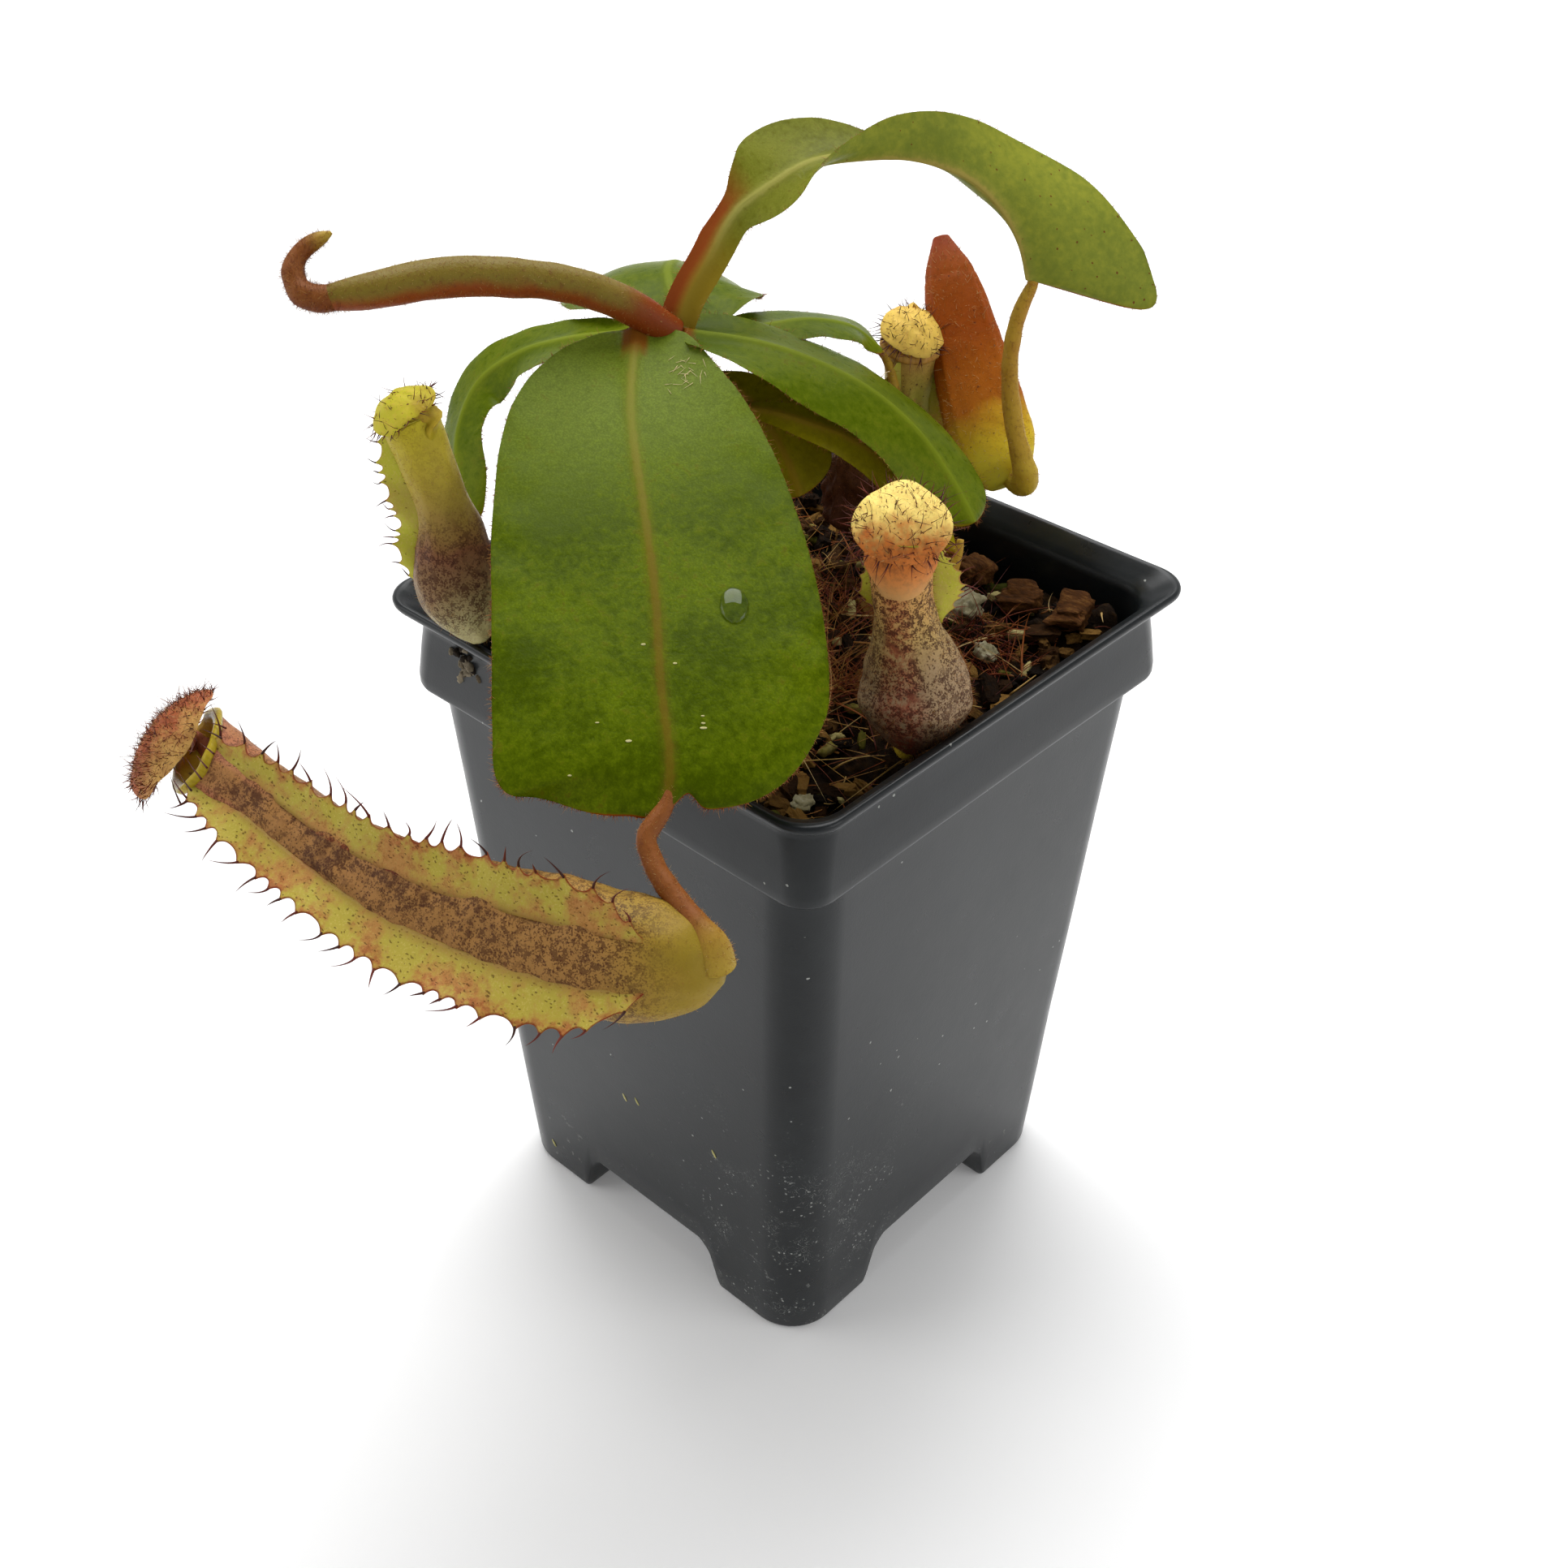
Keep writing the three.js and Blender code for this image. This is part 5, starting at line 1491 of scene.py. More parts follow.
@dataclass
class Pitcher(Organ):
    """A cup on a curved axis: outer wall, rolled ribbed lip and inner wall in one skin, and its wings.

    A ring lies round the axis at place + side * wide * cos(angle) + face * deep * sin(angle), and tilts
    towards the mouth by -slant * sin(angle). The lip is a small circle carried round the mouth.
    """

    axis: Points
    front: Keys
    radii: Keys
    slant: float
    wing: Wing
    wall: float = 0.6
    hollow_from: float = 0.2
    lip: float = 0.55
    lip_rows: int = 14
    ribs: int = 30
    whiskers: int = 0
    rows: int = 110
    columns: int = 120
    groove: float = 0.05
    lumps: float = 0.03
    down: int = 1500
    down_length: float = 0.45
    down_tones: tuple[float, float] = (0.3, 0.8)
    bristle_tones: tuple[float, float] = (0.0, 0.35)

    def ring(self, s: Array, out: Array, up: Array) -> Array:
        """Points of the rings at shares s, pushed out and up by the given millimetres.

        Args:
            s: Shares of the axis, one for each ring.
            out: Push away from the axis.
            up: Push along the axis.

        Returns:
            The points, in metres.
        """
        rail = Rail.lay(self.axis, self.front, s)
        angle = crown(self.columns)[None]
        turn = np.arccos(np.sin(angle))
        wide, deep = track(self.radii, s).T[:, :, None] + out[:, None]
        hollow = 1 - self.groove * np.exp(-(turn / (self.wing.turn * 0.75)) ** 2)
        rough = self.lumps * ripple(rail.at(8 * np.cos(angle), 8 * np.sin(angle)), 7, len(self.node))
        girth = hollow * (1 + rough)
        tilt = -self.slant * np.sin(angle) * ease(s, 0.55, 1)[:, None] + up[:, None]
        return rail.at(wide * girth * np.cos(angle), deep * girth * np.sin(angle), tilt)

    def body(self) -> Skin:
        """Works out the cup: up the outside, round the lip and down the inside."""
        outside = np.linspace(0, 1, self.rows) ** 1.15
        roll = np.linspace(-1.2, 2.7, self.lip_rows)
        inside = np.linspace(1, self.hollow_from, self.rows // 2)
        counts = len(outside), len(roll), len(inside)
        lip, within = (np.repeat(values, counts)[:, None] for values in ((0.0, 1.0, 0.0), (0.0, 0.0, 1.0)))
        s = np.concatenate([outside, np.ones(len(roll)), inside])
        out = np.concatenate([0 * outside, self.lip * np.cos(roll) - 0.2, -self.wall + 0 * inside])
        up = np.concatenate([0 * outside, self.lip * (np.sin(roll) + 0.7), 0 * inside])
        angle = crown(self.columns)[None]
        turn = np.arccos(np.sin(angle))
        flat = self.ring(s, out * (1 - lip[:, 0]), up * (1 - lip[:, 0]))
        kept = 1 - 0.85 * ease(turn, 2.0, 2.9) * lip
        points = flat + (self.ring(s, out, up) - flat) * kept[..., None]
        rib = np.cos(self.ribs * angle)
        centre = points.mean(1, keepdims=True)
        points = points + unit(points - centre) * (0.04 * self.lip * rib * lip * MM)[..., None]
        marks = {"along": s[:, None], "front": turn / np.pi, "lip": lip, "inside": within,
                 "rib": (0.5 - 0.5 * rib) * lip}
        return Skin(points, marks)

    def wing_skin(self, hand: int, rng: np.random.Generator) -> tuple[Skin, Tufts]:
        """One wing and the bristles on its margin.

        The margin stands at height * (1 + scallops) from the root; between two teeth it draws in by the
        square of the distance from the nearer one.

        Args:
            hand: -1 for the wing at the left of the front, 1 for the right.
            rng: Source of the bristles' leans.

        Returns:
            The wing's surface and its bristles.
        """
        w = self.wing
        s = np.linspace(w.start, w.end, w.rows)
        gone = (s - w.start) / (w.end - w.start)
        rail = Rail.lay(self.axis, self.front, s)
        wide, deep = track(self.radii, s).T[:, :, None] - 0.4
        height = track(w.height, gone) * (w.upper_share if hand > 0 else 1)
        teeth = max(4, round(rail.length * (w.end - w.start) / w.tooth_gap))
        phase = gone * teeth + 0.25 * np.sin(s * 37 + hand) + 0.5
        gap = np.abs(phase - np.round(phase)) * 2
        tooth = w.tooth * (1 - gap) ** 2.4 * np.minimum(1, height / 2)
        share = np.array([0, 0.12, 0.3, 0.5, 0.7, 0.86, 0.96, 1.0])
        reach = share * height[:, None] + share**4 * tooth[:, None]
        lean = w.lean + (w.upper_lean if hand > 0 else 0)
        lean = lean - w.curl * share * (1 + 0.5 * np.sin(s * 23 + hand))[:, None]
        step_out = np.diff(reach, axis=1, prepend=0)
        sheet = rail.at((wide * np.sin(w.turn) + np.cumsum(step_out * np.sin(lean), 1)) * hand,
                        deep * np.cos(w.turn) + np.cumsum(step_out * np.cos(lean), 1))
        flat = ripple(sheet, 8, 11 + hand) * 0.45 * share**1.5 * np.minimum(1, height / 3)[:, None]
        over = np.cos(lean)[..., None] * rail.side[:, None] * hand
        over = over - np.sin(lean)[..., None] * rail.face[:, None]
        sheet = sheet - over * (flat * MM)[..., None]
        thick = (w.thick * (1 - 0.72 * share) / 2 * MM)[:, None]
        rows = np.concatenate([sheet - over * thick, (sheet + over * thick)[:, ::-1]], axis=1)
        marks = {"out": np.concatenate([share, share[::-1]])[None], "along": gone[:, None]}
        tips = np.unique(np.round(phase).astype(int))
        at = np.array([np.argmin(np.abs(phase - k)) for k in tips])
        at = at[gap[at] < 0.3]
        aims = unit(sheet[at, -1] - sheet[at, -3]) + rail.along[at] * rng.normal(0.1, 0.35, (len(at), 1))
        aims = aims - over[at, -1] * rng.uniform(0.0, 0.6, (len(at), 1))
        bends = rail.along[at] * rng.normal(0.1, 0.4, (len(at), 1)) - over[at, -1] * 0.15
        long = w.bristle * rng.uniform(0.65, 1.25, len(at)) * np.minimum(1, height[at] / 2 + 0.4)
        bristles = Tufts(sheet[at, -2], aims, bends, long, w.bristle_width * 1.7,
                         rng.uniform(*self.bristle_tones, len(at)), 8, 6)
        return Skin(rows[:, ::-hand], marks), bristles

    def mouth_bristles(self, rng: np.random.Generator) -> Tufts:
        """Long dark bristles that lie across the front of the mouth, from inside it over the lip."""
        ones = np.ones(1)
        inner = self.ring(ones, -ones * (self.wall + 0.1), ones * 0.2)[0]
        outer = self.ring(ones, ones * (self.lip + 0.9), -ones * 1.2)[0]
        turn = np.linspace(-0.95, 0.95, self.whiskers) + rng.normal(0, 0.06, self.whiskers)
        away = np.abs(wrapped(crown(self.columns) - np.pi / 2 - turn[:, None]))
        roots = outer[np.argmin(away, axis=1)]
        way = unit(inner.mean(0) - roots)
        rail = Rail.lay(self.axis, self.front, ones)
        aims = way * 0.25 + rail.along * 0.9 + rng.normal(0, 0.1, way.shape)
        long = rng.uniform(3.2, 5.4, self.whiskers)
        return Tufts(roots, aims, way * 0.25, long, 0.16, rng.uniform(0.0, 0.2, self.whiskers), 8, 6)

    def dress(self, cup: Material, web: Material, hair: Material) -> None:
        """Puts the cup, its wings, their bristles and the down into the scene.

        Args:
            cup: Finish of the cup.
            web: Finish of the wings.
            hair: Finish of bristles and down.
        """
        rng = self.rng()
        skin = self.body()
        self.show("cup", Clay().skin(skin), cup, self.node)
        sheets, bristles = zip(*(self.wing_skin(hand, rng) for hand in (-1, 1)))
        self.show("wings", Clay().skin(*sheets), web)
        outer = self.rows / len(skin.rows) * 0.98
        down = down_on(skin, rng, self.down, self.down_length, 0.028, self.down_tones,
                       lambda row: row < outer)
        clay = Clay().tufts(*bristles, down)
        if self.whiskers:
            clay.tufts(self.mouth_bristles(rng))
        self.show("bristles", clay, hair)


@dataclass
class ShutPitcher(Organ):
    """Pitcher with no open mouth: flat oval rings on a curved axis, with creases and a seam for the lid."""

    axis: Points
    front: Keys
    radii: Keys
    rows: int = 120
    columns: int = 96
    crumple: float = 0.06
    crease: float = 0.12
    seam_at: float = 0.84
    down: int = 500
    tones: tuple[float, float] = (0.5, 0.95)

    def build(self) -> tuple[Skin, ...]:
        """Works out the skin; two creases run up the front, and the lid's seam goes round near the top."""
        s = quarter(self.rows)
        rail = Rail.lay(self.axis, self.front, s)
        angle = crown(self.columns)[None]
        wide, deep = track(self.radii, s).T[:, :, None]
        turn = np.arccos(np.sin(angle))
        crease = self.crease * np.exp(-((turn - 0.75) / 0.13) ** 2)
        seam = -0.03 * np.exp(-((s - self.seam_at) / 0.012) ** 2)[:, None]
        spot = rail.at(5 * np.cos(angle), 5 * np.sin(angle))
        swell = 1 + self.crumple * (ripple(spot, 8, 4) + 0.5 * ripple(spot, 3, 5))
        swell = swell + crease * ease(s, 0.1, 0.3)[:, None] + seam
        points = rail.at(wide * np.cos(angle) * swell, deep * np.sin(angle) * swell)
        return (Skin(points, {"along": s[:, None], "front": turn / np.pi}),)

    def hairs(self, skin: Skin) -> tuple[Tufts, ...]:
        """Short down all over the pitcher."""
        return (down_on(skin, self.rng(), self.down, 0.85, 0.03, self.tones),)


@dataclass
class Lid(Organ):
    """Domed oval lid on a short neck, with bristles on its back and round its rim.

    A ring at share r of the oval lies at across * width * r * cos + long * length * r * sin, raised by
    dome * (1 - r*r), with a point at the far end and a ripple at the rim.
    """

    PARTS = ("shield", "bristles")
    PICK = 5
    centre: Sequence[float]
    normal: Sequence[float]
    length: Sequence[float]
    half_length: float
    half_width: float
    dome: float
    hinge: Points
    rings: int = 26
    columns: int = 96
    thick: float = 0.6
    point: float = 0.12
    bristles: int = 90
    bristle: float = 1.1
    rim_bristles: int = 24
    width: float = 0.07
    tones: tuple[float, float] = (0.0, 0.4)
    hinge_wide: float = 3.0
    strip_steps: int = 40
    bow: float = 6.0

    def hinge_skin(self, spot: Array, up: Array) -> Skin:
        """The flat strip that carries the lid: an oval section from the back of the cup's neck to the lid.

        Args:
            spot: Where it meets the lid, in millimetres from the axis.
            up: Which way the lid's back faces.

        Returns:
            Its surface.
        """
        s = np.linspace(0, 1, self.strip_steps)
        rail = Rail.lay((*self.hinge, spot), ((0, up), (1, up)), s)
        angle = crown(self.strip_steps)[None]
        wide = track(((0, 0.3), (0.4, 0.7), (0.7, 0.95), (1, 0.9)), s)[:, None]
        wide = wide * self.hinge_wide * np.cos(angle)
        thick = track(((0, 0.3), (0.3, 0.8), (1, 0.5)), s)[:, None]
        lift = thick * np.sin(angle) - wide**2 / (2 * self.bow)
        return Skin(rail.at(wide, lift), {"neck": 0.55 * s[:, None] - 0.4})

    def build(self) -> tuple[Skin, ...]:
        """Works out the lid, from the middle of its hollow side over the rim to the middle of its back, and
        the strip that carries it."""
        up = unit(np.asarray(self.normal, float))
        long = np.asarray(self.length, float)
        long = unit(long - up * (long @ up))
        across = np.cross(up, long)
        ring = np.sin(np.linspace(0.03, np.pi / 2, self.rings))
        r = np.concatenate([ring, ring[::-1]])[:, None]
        half = np.concatenate([-np.sqrt(1 - ring**8), np.sqrt(1 - ring[::-1] ** 8)])[:, None] * self.thick / 2
        angle = crown(self.columns)[None]
        far = np.exp(-(wrapped(angle - np.pi / 2) / 0.35) ** 2)
        grow = 1 + self.point * far * r**2
        x, y = r * np.cos(angle), r * np.sin(angle)
        spot = (across * x[..., None] + long * y[..., None]) * 5 * MM
        wave = ripple(spot + up * 0.01, 7, len(self.node)) * 0.5 * r**2 + ripple(spot, 2.4, 9) * 0.1
        neck = (1 + y) / 2
        x, y = self.half_width * x * grow, self.half_length * y * grow
        z = self.dome * (1.2 - 1.2 * r**2) + half + wave - 0.12 * np.exp(-(x / 0.6) ** 2) * (1 - r**2)
        points = across * x[..., None] + long * y[..., None] + up * z[..., None]
        spot = np.asarray(self.centre, float) - long * self.half_length * 0.6 + up * self.dome * 0.5
        return Skin(SITE.metres(self.centre) + points * MM, {"neck": neck}), self.hinge_skin(spot, up)

    def hairs(self, skin: Skin) -> tuple[Tufts, ...]:
        """Bristles on the back of the lid and, longer ones, round its rim."""
        rng = self.rng()
        back = down_on(skin, rng, self.bristles * 2, self.bristle, self.width, self.tones,
                       lambda row: row > 0.52, 1.3)
        fine = down_on(skin, rng, self.bristles * 5, self.bristle * 0.45, 0.03, (0.3, 0.9), lean=1.0)
        column = rng.integers(0, self.columns, self.rim_bristles)
        rim = skin.rows[self.rings, column]
        aims = unit(rim - skin.rows.mean((0, 1))) + rng.normal(0, 0.3, rim.shape)
        long = self.bristle * rng.uniform(0.9, 1.9, len(rim))
        edge = Tufts(rim, aims, rng.normal(0, 0.3, rim.shape), long, self.width * 1.2,
                     rng.uniform(*self.tones, len(rim)), 7, 5)
        return back, fine, edge


# ------------------------------------------------------------------ the plant
LEAVES = (
    Leaf("front_leaf",
         ((-22.8, -9.8, 164.2), (-11, -22.4, 159), (2.6, -33.2, 152), (13, -41.5, 146), (22.5, -50, 140),
          (30, -56, 134.5), (32.6, -59.4, 130.6)),
         ((0, (0.3, -0.33, 0.9)), (1, (0.3, -0.33, 0.9))),
         ((0, (6, 3.4)), (0.03, (8.4, 7)), (0.06, (10, 10)), (0.2, (16.2, 17)), (0.4, (20.4, 21)),
          (0.6, (22.3, 22.4)), (0.8, (22.6, 22.8)), (0.92, (21, 23.8)), (1, (18, 23))),
         ((0, 0.2), (0.3, 0), (0.7, -0.08), (1, -0.15)),
         ((0, (0, 0)), (0.7, (0, 0)), (0.94, (-0.6, 4)), (1, (0.4, 7))), notch=(2.2, -0.6),
         tip_from=0.84, rows=190, columns=140, fringe=1.0),
    Leaf("arching_leaf",
         ((-20.4, -4.6, 162), (-20.2, -1.4, 167.6), (-19.4, 2.4, 172.6), (-18.6, 7.4, 178.7),
          (-16, 11.5, 182.2), (-12.5, 17.7, 185.6), (-7.8, 23.3, 186.6), (-2.8, 28.7, 186.4),
          (4, 34.3, 183.6), (9.2, 38, 178.3), (12.3, 39, 173.8), (14.4, 39, 168.6)),
         ((0, (0.5, -0.6, 0.4)), (0.28, (0.45, -0.5, 0.7)), (0.45, (0.1, -0.1, 1)),
          (0.6, (-0.4, 0.45, 0.8)), (0.75, (-0.66, 0.71, 0.24)), (0.9, (0.1, 0.9, -0.2)),
          (1, (0.3, 0.89, -0.33))),
         ((0, (2.8, 2.8)), (0.2, (3, 3)), (0.28, (3.3, 3.3)), (0.305, (5.4, 4)), (0.34, (8, 5)),
          (0.4, (9.6, 6)), (0.46, (9.2, 5.8)), (0.52, (7.6, 5)), (0.6, (5, 4.6)), (0.7, (3.4, 5)),
          (0.78, (3.4, 6)), (0.9, (4, 9)), (1, (4, 12.2))),
         ((0, 0.5), (0.4, 0.15), (0.6, 0.8), (0.75, 1.2), (1, 1.4)),
         ((0, (0, 0)), (0.7, (0, 0)), (0.85, (0, 4)), (0.95, (0, 10)), (1, (0, 14))),
         ((0, 2.6), (0.22, 2.2), (0.32, 1), (1, 0.9)),
         tip_from=0.95, rows=220, ripple=0.2, keel=0.9),
    Leaf("left_leaf",
         ((-24, -8.5, 162.6), (-36, -12, 159.4), (-44.4, -15, 155.6), (-49.3, -19.6, 150.6),
          (-48.4, -25, 144.8), (-43, -30, 140), (-36, -34, 136)),
         ((0, (0, 0, 1)), (0.35, (0, -0.3, 0.9)), (0.6, (-0.2, -0.9, 0.4)), (1, (0, -0.8, 0.6))),
         ((0, (3, 3)), (0.2, (6.6, 6)), (0.5, (6.4, 6)), (0.8, (6, 6)), (1, (5, 5)))),
    Leaf("right_leaf",
         ((-18.2, -4.6, 163.2), (-10, 3, 162), (-3.5, 8.5, 159.5), (4, 13, 155.7), (11.5, 16, 150),
          (18.5, 17, 143), (23, 16.5, 138.5)),
         UP,
         ((0, (5.4, 5.4)), (0.12, (7.4, 9.6)), (0.3, (9.6, 11.4)), (0.5, (10, 10.4)), (0.8, (9, 8)),
          (1, (8, 7))),
         ((0, 0.3), (0.3, -0.1), (1, -0.25))),
    Leaf("lower_right_leaf",
         ((-14, -1, 151.5), (-3.5, 0.3, 153.6), (1.2, 3.2, 152.4), (5.4, 7.6, 149.8), (10.6, 11, 145.9),
          (17, 12.3, 139.8), (23.5, 11.9, 135.3)),
         ((0, (0.3, -0.4, 0.8)), (1, (0.4, -0.5, 0.75))),
         ((0, (0.8, 0.8)), (0.15, (1.6, 1.5)), (0.3, (2.6, 2.4)), (0.5, (3.2, 3.4)), (0.8, (3, 3.6)),
          (1, (1.6, 2.4))),
         thick=((0, 2), (0.3, 1.2), (1, 0.9)), ripple=0.15, slot="leaf_old"),
    Leaf("back_right_leaf",
         ((-17, 3, 161), (-15.9, 14.5, 159.9), (-14.9, 21, 158.8), (-12, 27.8, 156.2), (-8.8, 31.4, 152)),
         UP, ((0, (2.5, 2.5)), (0.3, (6, 6)), (0.8, (6, 6)), (1, (4, 4)))),
    Leaf("back_leaf",
         ((-23, -0.5, 162), (-28, 3, 164.4), (-34, 8, 165.4), (-41, 17, 162.4), (-46, 25, 155.4)),
         UP, ((0, (4, 8)), (0.12, (11, 13)), (0.25, (15.5, 15)), (0.6, (17, 13)), (1, (10, 9))),
         ((0, 0.2), (0.3, -0.25), (1, -0.35))),
    Leaf("hanging_leaf",
         ((-13.5, -2.5, 156.5), (-10.5, 0.5, 154), (-7, 3.1, 148.8), (-3.3, 3.8, 142.9), (-1.3, 3.6, 139.2)),
         ((0, (0.3, -0.4, 0.8)), (1, (0.5, -0.6, 0.6))),
         ((0, (2, 2)), (0.3, (5, 5)), (0.8, (7, 6)), (1, (5, 5))), slot="leaf_old"),
)

STALKS = (
    Stalk("stem", ((-12, 1, 110), (-14, 0, 128), (-17, -1, 146), (-20, -4, 160), (-21, -5, 164.4)),
          ((0, 4.4), (0.6, 3.8), (0.9, 3.8), (0.97, 3.4), (1, 1.6)), slot="stem_bark", lumps=0.1, down=900),
    Stalk("rolled_leaf",
          ((-19.6, -5.2, 163.4), (-21.6, -8.5, 166.6), (-24.3, -12, 169.5), (-28.8, -17.5, 172.3),
           (-34, -25.3, 174.2), (-39, -33.3, 175), (-43.5, -41.5, 174.3), (-48, -48, 173.6)),
          ((0, 2.4), (0.15, 2.6), (0.35, 2.7), (0.7, 2.9), (0.9, 2.4), (1, 1.6)), slot="new_leaf",
          rows=180, columns=72, seam=0.16, lumps=0.03, down=2600, down_length=0.4),
    Stalk("rolled_leaf_tip",
          ((-45.6, -44.6, 173.9), (-48.2, -48, 173.7), (-50.6, -49.2, 174.6), (-52.9, -48.1, 177),
           (-53.1, -45.3, 179.2), (-52.2, -41.4, 180.5)),
          ((0, 1.9), (0.3, 1.9), (0.65, 1.4), (0.93, 0.9), (1, 0.3)), slot="tendril_brown",
          down=1500, down_length=0.8, tones=(0.2, 0.75)),
    Stalk("front_tendril",
          ((29.6, -56.2, 134.2), (32, -58.6, 131.2), (32.4, -61.4, 129.4), (32.8, -63.4, 128.2),
           (35.2, -64.6, 126.2), (40, -65.6, 123.8), (44.4, -66.2, 122.2), (47.4, -66.6, 120.4),
           (48, -66.8, 117.6)),
          ((0, 0.5), (0.12, 1), (0.3, 1.35), (0.62, 1.5), (0.8, 1.8), (0.92, 2.6), (1, 3.2)),
          slot="tendril_brown", down=1300, down_length=0.45),
    Stalk("arching_tendril",
          ((14.4, 39, 170.6), (14.5, 39, 168), (13.4, 37.8, 163.4), (13.2, 36.6, 156.1), (14.6, 36.2, 148),
           (17.4, 35.6, 141.4), (18.6, 35.8, 138), (17.6, 36.8, 135.8), (14.8, 38, 135.6)),
          ((0, 0.6), (0.1, 1), (0.5, 1.4), (0.8, 1.8), (0.9, 2.3), (1, 2.2)), slot="tendril_olive", down=1200,
          down_length=0.45),
    Stalk("left_tendril",
          ((-38, -33, 137.2), (-35, -35, 135), (-32, -38, 128), (-27.5, -41, 125.4), (-24.4, -43, 125.4),
           (-22.8, -44.6, 127)),
          ((0, 0.5), (0.15, 0.9), (0.8, 1.2), (1, 1.6)), slot="tendril_olive"),
    Stalk("back_tendril",
          ((-9.4, 31, 152.6), (-8, 32, 150.6), (-3.5, 31, 140), (-1.5, 31, 128), (-3.5, 33.4, 118.8),
           (-6, 35.8, 116.8), (-7, 36.8, 118.6)),
          ((0, 0.5), (0.1, 0.8), (0.9, 1.2), (1, 1.4)), slot="tendril_olive"),
    Stalk("right_tendril",
          ((24.2, 12, 138), (24.6, 11, 135.4), (24, 7, 128), (24.4, -1, 120.4), (29, -8, 116.8),
           (34.6, -12.4, 116.4), (36.4, -13, 118.6)),
          ((0, 0.5), (0.1, 0.8), (0.9, 1.2), (1, 1.6)), slot="tendril_olive"),
)

FRONT_PITCHER = Pitcher(
    "front_pitcher",
    ((48.8, -65.5, 117.2), (44.4, -68.4, 117), (36.5, -73, 116.4), (28, -76.5, 116), (18.7, -79.7, 115.8),
     (6.7, -83.4, 116.2), (-7.6, -86, 118), (-20.2, -87.3, 120.6), (-32.2, -88.4, 122.8)),
    ((0, (0.57, -0.63, 0.53)), (1, (0.57, -0.63, 0.53))),
    ((0, (2.4, 2.2)), (0.03, (5.4, 5)), (0.08, (7.4, 6.8)), (0.2, (8.8, 7.8)), (0.35, (8.4, 7.6)),
     (0.5, (7.2, 6.8)), (0.7, (5.8, 5.6)), (0.9, (5.4, 5.2)), (1, (5.8, 5.6))),
    6.4, Wing(0.1, 0.95, 0.42, 1.3, ((0, 0.2), (0.04, 2.6), (0.08, 5), (0.2, 6.2), (0.4, 6.2), (0.7, 4.8),
                                     (0.92, 3.6), (1, 1.6)),
              tooth_gap=3.2, tooth=1.3, bristle=3.4, bristle_width=0.12, upper_share=0.94, upper_lean=0.28),
    slot="pitcher_green", wall=0.9, hollow_from=0.14, lip=0.9, ribs=60, whiskers=8, rows=160, columns=180,
    groove=0.07, down=4200, down_length=0.4)
LEFT_PITCHER = Pitcher(
    "left_pitcher",
    ((-22.8, -44.6, 125.8), (-23.3, -44.9, 129), (-25.5, -45.7, 135.4), (-26.6, -45, 143),
     (-28.3, -45.4, 149.9), (-29.9, -45.9, 155), (-31.5, -46.3, 159.6)),
    ((0, (-0.99, 0.1, 0)), (1, (-0.99, -0.1, 0))),
    ((0, (1.5, 1.5)), (0.08, (4, 4)), (0.25, (6.2, 6.2)), (0.42, (5.6, 5.6)), (0.62, (4, 4)),
     (0.85, (4, 4)), (1, (4.3, 4.2))),
    0.6, Wing(0.28, 0.97, 0.6, 0.75, ((0, 0.6), (0.2, 3), (0.5, 3.6), (0.8, 3.2), (1, 1.2)), tooth_gap=2.1,
              tooth=1.3, bristle=2.6, bristle_width=0.08), slot="pitcher_speckled", lip=0.3, down=2600)
RIGHT_PITCHER = Pitcher(
    "right_pitcher",
    ((36.4, -13, 117.2), (35.8, -12.2, 121.9), (35, -11.4, 128.3), (33.7, -12.1, 136.3),
     (32.7, -12.4, 142.8), (32.2, -12.4, 146.5), (31.7, -12, 150)),
    ((0, (-0.4, 0.9, 0)), (1, (-0.4, 0.9, 0))),
    ((0, (1.2, 1.2)), (0.08, (4.4, 4.4)), (0.25, (8.2, 8)), (0.42, (7.2, 7)), (0.62, (4.8, 4.8)),
     (0.82, (4.3, 4.3)), (1, (5.6, 5.4))),
    1.6, Wing(0.56, 0.97, 0.7, 1.35, ((0, 0.4), (0.35, 4.6), (0.6, 4.8), (0.85, 2.6), (1, 1)), tooth_gap=1.5,
              bristle=3.2, bristle_width=0.06), slot="pitcher_speckled", lip=0.4, down=6400, down_length=0.6)
BACK_PITCHER = Pitcher(
    "back_pitcher",
    ((-7, 36.8, 117), (-7, 36.8, 120), (-7.2, 36.9, 127), (-7.4, 37.2, 136), (-7.6, 37.6, 144),
     (-7.9, 38, 151)),
    ((0, (0.9, -0.5, 0)), (1, (0.9, -0.5, 0))),
    ((0, (1.2, 1.2)), (0.1, (4, 4)), (0.3, (5, 5)), (0.5, (4.6, 4.6)), (0.8, (4.1, 4.1)), (1, (4.6, 4.6))),
    1.2, Wing(0.3, 0.97, 0.7, 1.5, ((0, 0.6), (0.5, 3.8), (0.8, 4.2), (1, 1.4)), tooth_gap=1.6, bristle=3.4,
              bristle_width=0.07), slot="pitcher_green", lip=0.8, down=1200, bristle_tones=(0.75, 1.0))
UNOPENED = ShutPitcher(
    "unopened_pitcher",
    ((14.6, 36.9, 134.6), (10.8, 38.2, 138), (3.4, 42, 145.9), (-3.6, 45.6, 154.1), (-9.1, 48.6, 160.7),
     (-12.8, 50.8, 164.8)),
    ((0, (0.5, -0.6, 0.6)), (1, (0.5, -0.6, 0.6))),
    ((0, (3.2, 2.4)), (0.05, (5.4, 3.2)), (0.12, (6.7, 3.3)), (0.3, (7, 3.2)), (0.6, (5.8, 2.8)),
     (0.85, (4.2, 2.2)), (1, (1.4, 1.2))), slot="pitcher_orange", crumple=0.016, crease=0.07, down=2600)
